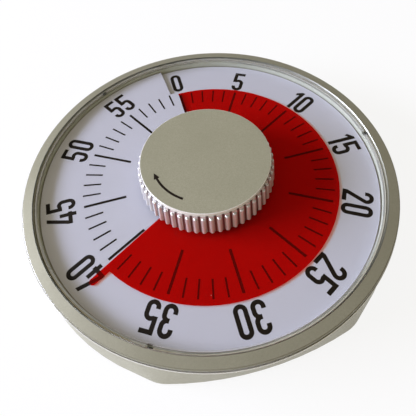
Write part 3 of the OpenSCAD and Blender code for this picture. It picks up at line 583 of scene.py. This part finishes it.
def edge_radius(clock):
    """Radius of the edge in mm, at a direction in degrees clockwise from the cut."""
    shown = min(clock, EDGE_TURN) if clock < POINTER_AT else 0
    return FILM_EDGE - EDGE_BEHIND + EDGE_GAIN * sin(radians(90 * shown / EDGE_TURN))


def cut_film():
    film = bpy.data.objects.new("film_sheet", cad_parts["red_film"].data.copy())
    bpy.context.scene.collection.objects.link(film)
    select_only(film)
    bpy.ops.object.mode_set(mode="EDIT")
    bpy.ops.mesh.select_all(action="SELECT")
    bpy.ops.mesh.remove_doubles(threshold=LOOSE * MM)
    bpy.ops.object.mode_set(mode="OBJECT")
    bpy.ops.mesh.customdata_custom_splitnormals_clear()
    for vertex in film.data.vertices:
        radius = hypot(vertex.co.x, vertex.co.y) / MM
        if abs(radius - FILM_EDGE) < EDGE_REACH:
            clock = degrees(atan2(vertex.co.x, vertex.co.y)) % 360
            vertex.co.xy = vertex.co.xy * edge_radius(clock) / radius
    bpy.ops.object.shade_flat()
    return film


film_sheet = cut_film()
print("the film's edge runs from", edge_radius(0), "to", edge_radius(EDGE_TURN), "mm, on",
      len(film_sheet.data.vertices), "corners")

# %% [markdown]
# ## What moves with what
# The print and the lip belong to the case, because dial and housing do. The arrow turns
# with the knob. The sheet goes with the film and stands for the frame's round one.

# %% Tie the pieces to their bodies
for piece in (numerals, five_minute_marks, minute_marks, housing_lip):
    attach(piece, "case")
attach(arrow, "knob")
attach(film_sheet, "film")
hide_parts("red_film")
print("tied:", numerals.name, five_minute_marks.name, minute_marks.name, housing_lip.name,
      arrow.name, film_sheet.name)

# %% [markdown]
# ## Patterns by size and place
# A pattern's scale is one over its size, and a mark on a turned piece is most easily said by
# its distance from the axis. Specks are the middles of a Voronoi pattern's cells.

# %% Helpers for patterns
def per(size):
    """Noise scale for a pattern of this size in mm."""
    return 1 / (size * MM)


def from_axis(tree, place):
    """The distance from the knob's axis."""
    flat = add(tree, "Mapping", {"Vector": place, "Scale": (1, 1, 0)}).outputs["Vector"]
    return add(tree, "VectorMath", {0: flat}, operation="LENGTH").outputs["Value"]


def specks(tree, place, spacing, radius):
    """1 in specks of this radius that lie about so far apart, both in mm, and 0 around them."""
    dots = add(tree, "TexVoronoi", {"Vector": place, "Scale": per(spacing)})
    return add(tree, "Math", {0: dots.outputs["Distance"], 1: radius / spacing},
               operation="LESS_THAN").outputs[0]


print("a pattern of 1 mm has a scale of", round(per(1)))

# %% [markdown]
# ## Silver paint on moulded ABS
# The bezel, the housing and the knob are ABS, a tough plastic that is moulded grey and
# sprayed with silver lacquer. Up close that lacquer is not one grey: aluminium flakes catch
# the light one by one, and the wet coat dries with a faint orange-peel swell. So the colour
# comes from a fine random mosaic, and two noises make the swell and the fine grain. Real
# flakes are about 0.03 mm. They are drawn ten times as coarse, or they would vanish. A
# clear coat lies over them, thin on the case and the bezel and thick on the knob.
#
# Four places differ, and a mask picks out each: the bezel's inner wall is plated bright; its
# outer edge is painted dark grey, as painted shade in the seam beneath it; the edge of the
# knob's cap is painted pale, as a painted highlight; and between the knob's ribs the coat is
# painted dark red-brown, as painted shade with a painted reflection of the red film.

# %% Silver lacquer
FLAKE = 0.35
CLOUD = 22
PEEL, PEEL_DEPTH = 1.6, 0.008
GRAIN, GRAIN_DEPTH = 0.3, 0.006
SPECK_SPACING, SPECK = 5.5, 0.176
PLATED, PLATED_ROUGH = "C6C6B6", 0.3
# The bezel's dark edge colour is painted shade in the seam, and the cap's pale edge colour is a
# painted highlight.
PAINTED_SEAM_SHADE, PAINTED_CAP_HIGHLIGHT, EDGE_ROUGH = "7C7A68", "D8D6CC", 0.16
# The colour between the ribs is painted shade with a painted reflection of the red film.
PAINTED_GROOVE_SHADE, GROOVE_FROM, GROOVE_FULL = "54423F", 0.1, 0.9
ROUGH_SPREAD = 0.05
COAT_ROUGH = 0.14
OUT_OF_REACH = 1000.0


def sprayed_colour(tree, place, clouds, dark, light, speck):
    """Flakes in brighter and duller clouds, with a few specks."""
    flakes = add(tree, "TexVoronoi", {"Vector": place, "Scale": per(FLAKE)})
    flake = add(tree, "SeparateColor", {"Color": flakes.outputs["Color"]}).outputs["Red"]
    shade = add(tree, "Math", {0: flake, 1: clouds}, operation="MULTIPLY").outputs[0]
    coat = add(tree, "Mix", {"Factor": shade, "A": paint(dark), "B": paint(light)},
               data_type="RGBA").outputs["Result"]
    is_speck = specks(tree, place, SPECK_SPACING, SPECK)
    return add(tree, "Mix", {"Factor": is_speck, "A": coat, "B": paint(speck)},
               data_type="RGBA").outputs["Result"]


def sprayed_skin(tree, place):
    """Normals of the orange peel alone, and of the fine grain on top of it."""
    peel = add(tree, "TexNoise", {"Vector": place, "Scale": per(PEEL), "Detail": 1.0})
    swell = add(tree, "Bump", {"Height": peel.outputs["Fac"], "Strength": 1.0,
                               "Distance": PEEL_DEPTH * MM}).outputs["Normal"]
    grain = add(tree, "TexNoise", {"Vector": place, "Scale": per(GRAIN), "Detail": 2.0})
    skin = add(tree, "Bump", {"Height": grain.outputs["Fac"], "Strength": 1.0,
                              "Distance": GRAIN_DEPTH * MM, "Normal": swell})
    return swell, skin.outputs["Normal"]


def between_ribs(tree, place, ribs):
    """1 in the grooves between so many ribs and 0 on their crests, or 0 without ribs."""
    axes = add(tree, "SeparateXYZ", {0: place}).outputs
    around = add(tree, "Math", {0: axes["Y"], 1: axes["X"]}, operation="ARCTAN2").outputs[0]
    wave = add(tree, "Math", {0: around, 1: float(ribs)}, operation="MULTIPLY").outputs[0]
    wave = add(tree, "Math", {0: wave}, operation="COSINE").outputs[0]
    return add(tree, "MapRange", {"Value": wave, "From Min": GROOVE_FROM, "From Max": GROOVE_FULL,
                                  "To Max": 1.0 if ribs else 0.0}).outputs["Result"]


def silver_lacquer(name, dark, light, speck, metallic, roughness, gloss,
                   bare=0.0, edge=OUT_OF_REACH, edge_colour=PAINTED_SEAM_SHADE, ribs=0):
    """Within a radius of bare, in mm, the moulding is plated bright and not sprayed. Beyond the
    radius of edge it is smooth and takes edge_colour: painted shade on the bezel and a painted
    highlight on the cap. Between ribs the coat takes painted shade with a painted reflection."""
    material, tree = new_material(name)
    place = add(tree, "TexCoord").outputs["Object"]
    clouds = add(tree, "TexNoise", {"Vector": place, "Scale": per(CLOUD), "Detail": 3.0})
    clouds = clouds.outputs["Fac"]
    radius = from_axis(tree, place)
    is_bare = add(tree, "Math", {0: radius, 1: bare * MM}, operation="LESS_THAN").outputs[0]
    is_edge = add(tree, "Math", {0: radius, 1: edge * MM}, operation="GREATER_THAN").outputs[0]
    groove_shade = between_ribs(tree, place, ribs)

    colour = sprayed_colour(tree, place, clouds, dark, light, speck)
    # Past the edge radius, edge_colour paints shade on the bezel and a highlight on the cap; between
    # the ribs the colour is painted shade.
    for where, tint in ((is_bare, PLATED), (is_edge, edge_colour), (groove_shade, PAINTED_GROOVE_SHADE)):
        colour = add(tree, "Mix", {"Factor": where, "A": colour, "B": paint(tint)},
                     data_type="RGBA").outputs["Result"]
    rough = add(tree, "MapRange", {"Value": clouds, "To Min": roughness - ROUGH_SPREAD,
                                   "To Max": roughness + ROUGH_SPREAD}).outputs["Result"]
    for where, value in ((is_bare, PLATED_ROUGH), (is_edge, EDGE_ROUGH)):
        rough = add(tree, "Mix", {"Factor": where, "A": rough, "B": value},
                    data_type="FLOAT").outputs["Result"]
    sprayed = add(tree, "MapRange", {"Value": is_edge, "To Min": metallic, "To Max": 0.0})
    metal_part = add(tree, "Mix", {"Factor": is_bare, "A": sprayed.outputs["Result"], "B": 1.0},
                     data_type="FLOAT")
    swell, skin = sprayed_skin(tree, place)
    shader = add(tree, "BsdfPrincipled", {
        "Base Color": colour, "Metallic": metal_part.outputs["Result"], "Roughness": rough,
        "Normal": skin, "Coat Weight": gloss, "Coat Roughness": COAT_ROUGH, "Coat Normal": swell})
    add(tree, "OutputMaterial", {"Surface": shader.outputs[0]})
    return material


# Past 94.35 mm the bezel's colour is painted shade in the seam under its edge.
bezel_lacquer = silver_lacquer("silver_lacquered_abs_bezel", "ADAA90", "BFBCA3", "8A8878",
                               metallic=0.46, roughness=0.42, gloss=0.15,
                               bare=89.7, edge=94.35, edge_colour=PAINTED_SEAM_SHADE)
case_lacquer = silver_lacquer("silver_lacquered_abs_case", "94927F", "ABA996", "C4C2B0",
                              metallic=0.2, roughness=0.5, gloss=0.1)
# Past 31.75 mm the cap's pale colour is a painted highlight on its rounded edge.
cap_lacquer = silver_lacquer("silver_lacquered_abs_cap", "A3A187", "B9B79D", "CCCBB8",
                             metallic=0.15, roughness=0.45, gloss=0.7,
                             edge=31.75, edge_colour=PAINTED_CAP_HIGHLIGHT)
# The lip's lacquer is lighter than the housing's own, as a painted highlight along its top.
lip_lacquer_painted_light = silver_lacquer("silver_lacquered_abs_lip", "CFCDC2", "E2E0D6", "F0EEE6",
                             metallic=0.1, roughness=0.2, gloss=0.5)
# Between its 56 ribs the grip's colour is painted shade with a painted reflection of the red film.
grip_lacquer = silver_lacquer("silver_lacquered_abs_grip", "D6D3CE", "E8E5E0", "EEECE8",
                              metallic=0.5, roughness=0.3, gloss=0.8, ribs=56)
print("flakes", FLAKE, "mm, orange peel", PEEL, "mm")

# %% [markdown]
# ## Plain plastics: a printed sheet and a moulding
# The dial is cut from a calendered white polystyrene sheet, which is smooth with a hint of
# blue from its brightener. Its outer rim is painted dark brown-grey, as painted shade in the
# gap between the dial and the ring that carries it. That ring is moulded from grey-beige ABS.

# %% Plain plastics
SHEET_CLOUD = 30
SHEET_DEPTH = 0.004
# The dark rim colour is painted shade in the gap between the dial and its carrier.
PAINTED_GAP_SHADE = "786E62"


def plain_plastic(name, cool, warm, roughness, ior, texture, gap_shade_from=OUT_OF_REACH):
    """Beyond the given radius, in mm, the sheet's rim is painted dark, as painted shade in the gap
    round it.
    """
    material, tree = new_material(name)
    place = add(tree, "TexCoord").outputs["Object"]
    clouds = add(tree, "TexNoise", {"Vector": place, "Scale": per(SHEET_CLOUD), "Detail": 2.0})
    tint = add(tree, "Mix", {"Factor": clouds.outputs["Fac"], "A": paint(cool), "B": paint(warm)},
               data_type="RGBA")
    grain = add(tree, "TexNoise", {"Vector": place, "Scale": per(texture), "Detail": 2.0})
    skin = add(tree, "Bump", {"Height": grain.outputs["Fac"], "Strength": 1.0,
                              "Distance": SHEET_DEPTH * MM})
    is_edge = add(tree, "Math", {0: from_axis(tree, place), 1: gap_shade_from * MM},
                  operation="GREATER_THAN").outputs[0]
    gap_shaded = add(tree, "Mix", {"Factor": is_edge, "A": tint.outputs["Result"],
                              "B": paint(PAINTED_GAP_SHADE)}, data_type="RGBA")
    shader = add(tree, "BsdfPrincipled", {
        "Base Color": gap_shaded.outputs["Result"], "Roughness": roughness, "IOR": ior,
        "Normal": skin.outputs["Normal"]})
    add(tree, "OutputMaterial", {"Surface": shader.outputs[0]})
    return material


# Past 87.25 mm the dial's rim is painted dark, as painted shade in the gap to its carrier.
dial_sheet = plain_plastic("calendered_white_polystyrene", "D6D8EA", "DCDEF0",
                           roughness=0.45, ior=1.59, texture=0.6, gap_shade_from=87.25)
grey_moulding = plain_plastic("moulded_grey_beige_abs", "C4C8BA", "D0D4C6",
                              roughness=0.5, ior=1.54, texture=0.4)
print("plain plastics:", dial_sheet.name, grey_moulding.name)

# %% [markdown]
# ## Ink
# Screen-printing lays its ink down thicker than most other ways of printing, and the ink
# dries matt. It is a warm near-black, and tiny pores let a trace of the sheet's tone through.

# %% Ink
PORE, PORE_DEPTH = 0.8, 0.003


def ink_material(name, body, thin):
    material, tree = new_material(name)
    place = add(tree, "TexCoord").outputs["Object"]
    pores = add(tree, "TexNoise", {"Vector": place, "Scale": per(PORE), "Detail": 3.0}).outputs["Fac"]
    tint = add(tree, "Mix", {"Factor": pores, "A": paint(body), "B": paint(thin)},
               data_type="RGBA")
    skin = add(tree, "Bump", {"Height": pores, "Strength": 1.0, "Distance": PORE_DEPTH * MM})
    shader = add(tree, "BsdfPrincipled", {
        "Base Color": tint.outputs["Result"], "Roughness": 0.6, "Specular IOR Level": 0.25,
        "Normal": skin.outputs["Normal"]})
    add(tree, "OutputMaterial", {"Surface": shader.outputs[0]})
    return material


ink = ink_material("screen_printing_ink_black", "170F06", "281C0C")
print("pores", PORE, "mm apart in", ink.name)

# %% [markdown]
# ## The red film
# The time left is a sector of red PET sheet, thin and dyed through, so the scale shows
# through it as darker red. So thin a sheet bends light too little to see, and it needs no
# glass. Most of the light passes straight through a Transparent shader in the dye's colour,
# so that the lamps still reach the dial. The share of FILM_BODY meets a Principled body
# instead, which gives the sheet its gloss, its clouds and its dust.

# %% Dyed PET
FILM_TINT = "FC2612"
FILM_BODY = 0.13
FILM_CLOUD = 18
FILM_DUST_SPACING, FILM_DUST = 9, 0.162
FILM_WAVE, FILM_WAVE_DEPTH = 14, 0.02


def dyed_film(name, deep, bright, dust):
    material, tree = new_material(name)
    place = add(tree, "TexCoord").outputs["Object"]
    clouds = add(tree, "TexNoise", {"Vector": place, "Scale": per(FILM_CLOUD), "Detail": 2.0})
    tint = add(tree, "Mix", {"Factor": clouds.outputs["Fac"], "A": paint(deep),
                             "B": paint(bright)}, data_type="RGBA")
    is_dust = specks(tree, place, FILM_DUST_SPACING, FILM_DUST)
    dotted = add(tree, "Mix", {"Factor": is_dust, "A": tint.outputs["Result"], "B": paint(dust)},
                 data_type="RGBA")
    waves = add(tree, "TexNoise", {"Vector": place, "Scale": per(FILM_WAVE), "Detail": 1.0})
    skin = add(tree, "Bump", {"Height": waves.outputs["Fac"], "Strength": 1.0,
                              "Distance": FILM_WAVE_DEPTH * MM})
    body = add(tree, "BsdfPrincipled", {
        "Base Color": dotted.outputs["Result"], "Roughness": 0.2, "IOR": 1.57,
        "Specular IOR Level": 0.2, "Normal": skin.outputs["Normal"]})
    passing = add(tree, "BsdfTransparent", {"Color": paint(FILM_TINT)})
    both = add(tree, "MixShader", {0: FILM_BODY, 1: passing.outputs[0], 2: body.outputs[0]})
    add(tree, "OutputMaterial", {"Surface": both.outputs[0]})
    return material


red_film = dyed_film("dyed_red_pet", "C01206", "D41808", "E89080")
print("the film lets", 1 - FILM_BODY, "of the light pass, dyed")

# %% [markdown]
# ## The lens
# The window is moulded from clear polystyrene, with a mirror finish from its polished
# mould. Its wall is thin and even, so light goes straight through, and only the Fresnel
# share comes back, from the outer face. The index for that share is set lower than the
# plastic's own 1.59, or the dial would look veiled. A few specks of dust lie on it.
#
# Round its foot the lens has a flat seat, painted cream as a painted highlight, with its outer
# edge painted near black as painted shadow at the foot of the bezel's wall. The rim above the
# seat is faintly frosted. Three short marks across seat and rim, a third of a turn apart, are
# painted near black as the painted shade of notches.

# %% Clear polystyrene
LENS_DUST_SPACING, LENS_DUST = 16, 0.192
LENS_RIPPLE, LENS_RIPPLE_DEPTH = 40, 0.02
LENS_MIRROR = 1.35
# The seat's cream is a painted highlight, and all beyond its outer radius is painted shadow.
SEAT_INSIDE, SEAT_OUTSIDE, SEAT_HEIGHT, SEAT_REACH, SEAT_PAINT = 88.45, 89.0, 25.7, 0.08, 0.9
RIM_FOOT, RIM_FROST = 25.8, 0.22
# Three dark marks are painted here as the shade of notches.
NOTCH_SHADE_AT, NOTCH_SHADE_WIDE, NOTCH_SHADE_APART = 88.8, 1.6, 120


def lens_masks(tree, place):
    """Masks of the seat, of all that is beyond it, of the rim and of the painted notch shade."""
    axes = add(tree, "SeparateXYZ", {0: place}).outputs
    radius = from_axis(tree, place)
    outside = add(tree, "Math", {0: radius, 1: SEAT_INSIDE * MM},
                  operation="GREATER_THAN").outputs[0]
    level = add(tree, "Math", {0: axes["Z"], 1: SEAT_HEIGHT * MM, 2: SEAT_REACH * MM},
                operation="COMPARE").outputs[0]
    is_seat = add(tree, "Math", {0: outside, 1: level}, operation="MULTIPLY").outputs[0]
    is_beyond = add(tree, "Math", {0: radius, 1: SEAT_OUTSIDE * MM},
                    operation="GREATER_THAN").outputs[0]
    is_rim = add(tree, "Math", {0: axes["Z"], 1: RIM_FOOT * MM},
                 operation="GREATER_THAN").outputs[0]
    clock = add(tree, "Math", {0: axes["X"], 1: axes["Y"]}, operation="ARCTAN2").outputs[0]
    since = add(tree, "Math", {0: clock, 1: radians(NOTCH_SHADE_AT)}, operation="SUBTRACT").outputs[0]
    since = add(tree, "Math", {0: since, 1: radians(NOTCH_SHADE_APART)},
                operation="FLOORED_MODULO").outputs[0]
    is_notch_shade = add(tree, "Math", {0: since, 1: radians(NOTCH_SHADE_WIDE)},
                   operation="LESS_THAN").outputs[0]
    return is_seat, is_beyond, is_rim, is_notch_shade


def clear_plastic(name, tint, dust, seat, shade, rim):
    material, tree = new_material(name)
    place = add(tree, "TexCoord").outputs["Object"]
    is_dust = specks(tree, place, LENS_DUST_SPACING, LENS_DUST)
    is_seat, is_beyond, is_rim, is_notch_shade = lens_masks(tree, place)
    # Painted shade: the notch marks and the seat's outer edge.
    is_painted_shade = add(tree, "Math", {0: is_notch_shade, 1: is_beyond}, operation="MAXIMUM").outputs[0]
    band = add(tree, "Mix", {"Factor": is_painted_shade, "A": paint(seat), "B": paint(shade)},
               data_type="RGBA").outputs["Result"]
    frost = add(tree, "Mix", {"Factor": is_notch_shade, "A": paint(rim), "B": paint(shade)},
                data_type="RGBA").outputs["Result"]
    coat = paint(tint)
    for where, colour in ((is_dust, paint(dust)), (is_rim, frost), (is_seat, band)):
        coat = add(tree, "Mix", {"Factor": where, "A": coat, "B": colour},
                   data_type="RGBA").outputs["Result"]

    ripple = add(tree, "TexNoise", {"Vector": place, "Scale": per(LENS_RIPPLE), "Detail": 1.0})
    skin = add(tree, "Bump", {"Height": ripple.outputs["Fac"], "Strength": 1.0,
                              "Distance": LENS_RIPPLE_DEPTH * MM}).outputs["Normal"]
    shine = add(tree, "BsdfPrincipled", {
        "Base Color": coat, "Roughness": 0.03, "IOR": 1.59, "Normal": skin})
    passing = add(tree, "BsdfTransparent", {"Color": paint("FAFAF8")})

    mirror = add(tree, "Fresnel", {"IOR": LENS_MIRROR, "Normal": skin}).outputs[0]
    inside = add(tree, "NewGeometry").outputs["Backfacing"]
    mirror = add(tree, "Mix", {"Factor": inside, "A": mirror, "B": 0.0},
                 data_type="FLOAT").outputs["Result"]
    frost_and_seat_paint = add(tree, "MapRange", {"Value": is_seat, "To Min": RIM_FROST,
                                      "To Max": SEAT_PAINT}).outputs["Result"]
    is_matt = add(tree, "Math", {0: is_seat, 1: is_rim}, operation="MAXIMUM").outputs[0]
    frosted = add(tree, "Math", {0: is_matt, 1: frost_and_seat_paint}, operation="MULTIPLY").outputs[0]
    part = add(tree, "Math", {0: mirror, 1: is_dust}, operation="MAXIMUM").outputs[0]
    part = add(tree, "Math", {0: part, 1: frosted}, operation="MAXIMUM").outputs[0]
    both = add(tree, "MixShader", {0: part, 1: passing.outputs[0], 2: shine.outputs[0]})
    add(tree, "OutputMaterial", {"Surface": both.outputs[0]})
    return material


# seat is a painted highlight; shade is painted shadow at the seat's outer edge and in the notch
# marks.
window = clear_plastic("clear_moulded_polystyrene", tint="4C4C48", dust="C8C8C4",
                       seat="DCD8C6", shade="1C1A18", rim="D0D0C8")
# The painted notch shade stands at these turns.
print("notches at", [round(NOTCH_SHADE_AT + k * NOTCH_SHADE_APART, 1) for k in range(3)], "degrees clockwise")

# %% [markdown]
# ## Metals of the movement
# The clockwork is stamped and turned: lacquered brass plates and wheels, turned steel
# arbors, a blued spring, and nickel or zinc on the bell, the magnets and the screws. A metal
# has no colour under its shine, so the tint is the reflection itself. What tells one from
# the other is the tint and the tool marks, which follow the way each was made.

# %% Metals
METAL_SPREAD = 0.06


def metal(name, dark, light, roughness, mark, stretch, depth):
    """mark and depth are in mm, and stretch draws the tool marks out along x, y or z."""
    material, tree = new_material(name)
    place = add(tree, "TexCoord").outputs["Object"]
    drawn = add(tree, "Mapping", {"Vector": place, "Scale": stretch}).outputs["Vector"]
    marks = add(tree, "TexNoise", {"Vector": drawn, "Scale": per(mark), "Detail": 3.0}).outputs["Fac"]
    tint = add(tree, "Mix", {"Factor": marks, "A": paint(dark), "B": paint(light)},
               data_type="RGBA")
    rough = add(tree, "MapRange", {"Value": marks, "To Min": roughness - METAL_SPREAD,
                                   "To Max": roughness + METAL_SPREAD})
    skin = add(tree, "Bump", {"Height": marks, "Strength": 1.0, "Distance": depth * MM})
    shader = add(tree, "BsdfPrincipled", {
        "Base Color": tint.outputs["Result"], "Metallic": 1.0,
        "Roughness": rough.outputs["Result"], "Normal": skin.outputs["Normal"]})
    add(tree, "OutputMaterial", {"Surface": shader.outputs[0]})
    return material


brass = metal("stamped_lacquered_brass", "B8974E", "D2B468",
              roughness=0.3, mark=0.5, stretch=(1, 0.1, 1), depth=0.003)
steel = metal("turned_steel", "8E9094", "B4B6BA",
              roughness=0.28, mark=0.3, stretch=(1, 1, 4), depth=0.003)
blued_spring = metal("blued_spring_steel", "2E3446", "48506A",
                     roughness=0.3, mark=0.8, stretch=(1, 1, 0.15), depth=0.002)
nickel = metal("pressed_steel_nickel_plated", "B6B6B4", "CECECB",
               roughness=0.18, mark=1.5, stretch=(1, 1, 1), depth=0.002)
zinc = metal("zinc_plated_steel_screw", "9CA0A6", "BCC0C4",
             roughness=0.35, mark=0.25, stretch=(1, 1, 1), depth=0.004)
print("metals:", ", ".join(m.name for m in (brass, steel, blued_spring, nickel, zinc)))

# %% [markdown]
# ## Giving every node its finish
# A finished solid keeps its mesh and gets a material in its slot. The list goes finish by
# finish, so that nothing is left in the plain grey it came in.

# %% Dress the nodes
FINISHES = {
    bezel_lacquer: ["bezel"],
    case_lacquer: ["back_shell", "stand_leg"],
    cap_lacquer: ["knob_cap"],
    grip_lacquer: ["knob_body"],
    dial_sheet: ["dial_plate"],
    grey_moulding: ["dial_carrier", "film_hub"],
    red_film: ["red_film"],
    window: ["lens"],
    brass: ["main_wheel", "second_wheel", "third_wheel", "escape_wheel", "balance_wheel",
            "rear_plate", "front_plate", "pillars", "clutch_washer", "hammer_head", "snail_cam"],
    steel: ["main_arbor", "second_arbor", "third_arbor", "escape_arbor", "balance_staff",
            "trip_lever", "trip_staff", "hammer_arm", "hammer_staff", "spring_post", "stand_pin",
            "bell_post"],
    blued_spring: ["mainspring"],
    nickel: ["bell", "magnets", "bell_nut"],
    zinc: ["knob_screw", "pillar_screws", "housing_screws"],
}


def dress(obj, material):
    if not obj.material_slots:
        obj.data.materials.append(material)
    for slot in obj.material_slots:
        slot.material = material


for finish, names in FINISHES.items():
    for node in names:
        dress(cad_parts[node], finish)
for piece in (numerals, five_minute_marks, minute_marks, arrow):
    dress(piece, ink)
dress(housing_lip, lip_lacquer_painted_light)
dress(film_sheet, red_film)
undressed = set(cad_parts) - {node for names in FINISHES.values() for node in names}
print("nodes without a finish:", sorted(undressed) or "none")

# %% [markdown]
# ## Table, lamps and sky
# A pale table stands in for a photographer's sweep: to the camera it is all but white, yet
# it still takes the timer's soft shadow. For the eye and for mirrors most of it is a plain
# white glow, and for light that bounces on it is an ordinary matt board.
#
# One wide lamp to the left is the window. A small weak one stands nearer and steeper, and a
# low one in front lights the knob's ribs. The sky fills in all round. Mirrored in the silver
# it is dark overhead and away from the window, as a room is, or the bezel would look white.

# %% Table
TABLE_SIDE = 6
TABLE_GLOW = 0.86


def is_seen(tree, path):
    """1 for rays from the camera, off a mirror or through glass, and 0 for all others."""
    seen = add(tree, "Math", {0: path["Is Camera Ray"], 1: path["Is Glossy Ray"]},
               operation="MAXIMUM").outputs[0]
    return add(tree, "Math", {0: seen, 1: path["Is Transmission Ray"]},
               operation="MAXIMUM").outputs[0]


def pale_table():
    select_only()
    bpy.ops.mesh.primitive_plane_add(size=TABLE_SIDE)
    table = bpy.context.object
    table.name = "table"
    material, tree = new_material("pale_table")
    shade = add(tree, "BsdfDiffuse", {"Color": paint("F8F8F8")})
    glow = add(tree, "Emission", {"Color": paint("FFFFFF"), "Strength": 1.0})
    seen = is_seen(tree, add(tree, "LightPath").outputs)
    part = add(tree, "Math", {0: seen, 1: TABLE_GLOW}, operation="MULTIPLY").outputs[0]
    both = add(tree, "MixShader", {0: part, 1: shade.outputs[0], 2: glow.outputs[0]})
    add(tree, "OutputMaterial", {"Surface": both.outputs[0]})
    dress(table, material)


pale_table()
print("table", TABLE_SIDE, "m wide, with", TABLE_GLOW, "of its white as a glow")

# %% Lamps and sky
DIM_FROM, DIM_FULL = 0.25, 0.7
WINDOW_SIDE, ROOM_SIDE, ROOM_DIM = -0.8, -0.3, 0.95


def soft_lamp(name, place, wide, tall, power, tint):
    """A lamp at a place in metres, wide by tall, that faces the timer."""
    data = bpy.data.lights.new(name, "AREA")
    data.shape = "RECTANGLE"
    data.size = wide
    data.size_y = tall
    data.energy = power
    data.color = paint(tint)[:3]
    lamp = bpy.data.objects.new(name, data)
    lamp.location = place
    lamp.rotation_euler = (-Vector(place)).to_track_quat("-Z", "Y").to_euler()
    bpy.context.scene.collection.objects.link(lamp)


def studio_sky(light, overhead):
    """Lights with a strength of light, and shows white or, mirrored, fades to overhead."""
    world = bpy.data.worlds.new("studio_sky")
    world.use_nodes = True
    tree = world.node_tree
    tree.nodes.clear()
    path = add(tree, "LightPath").outputs
    way = add(tree, "SeparateXYZ", {0: add(tree, "TexCoord").outputs["Generated"]}).outputs
    climb = add(tree, "MapRange", {"Value": way["Z"], "From Min": DIM_FROM,
                                   "From Max": DIM_FULL}).outputs["Result"]
    away = add(tree, "MapRange", {"Value": way["X"], "From Min": WINDOW_SIDE,
                                  "From Max": ROOM_SIDE, "To Max": ROOM_DIM}).outputs["Result"]
    dim = add(tree, "Math", {0: climb, 1: away}, operation="MAXIMUM").outputs[0]
    mirrored = add(tree, "Math", {0: path["Glossy Depth"], 1: dim}, operation="MULTIPLY",
                   use_clamp=True)
    backdrop = add(tree, "Mix", {"Factor": mirrored.outputs[0], "A": paint("FFFFFF"),
                                 "B": paint(overhead)}, data_type="RGBA")
    direct = add(tree, "Math", {0: path["Diffuse Depth"], 1: 0.5}, operation="LESS_THAN")
    shown = add(tree, "Math", {0: is_seen(tree, path), 1: direct.outputs[0]},
                operation="MULTIPLY").outputs[0]
    lighting = add(tree, "Background", {"Color": paint("FFF1D2"), "Strength": light})
    picture = add(tree, "Background", {"Color": backdrop.outputs["Result"], "Strength": 1.0})
    all_sky = add(tree, "MixShader", {0: shown, 1: lighting.outputs[0], 2: picture.outputs[0]})
    add(tree, "OutputWorld", {"Surface": all_sky.outputs[0]})
    bpy.context.scene.world = world


soft_lamp("window_light", place=(-2.35, 0.5, 0.95), wide=1.9, tall=0.7, power=140.0,
          tint="DDE2FF")
soft_lamp("upper_light", place=(-0.65, 0.5, 0.74), wide=0.4, tall=0.4, power=0.3,
          tint="FFFFFF")
soft_lamp("low_light", place=(-1.2, -1.3, 0.16), wide=0.5, tall=0.15, power=7.5,
          tint="FFFFFF")
studio_sky(light=0.44, overhead="282828")
bpy.context.scene.view_settings.view_transform = "Standard"
print("lamps:", ", ".join(lamp.name for lamp in bpy.data.lights))
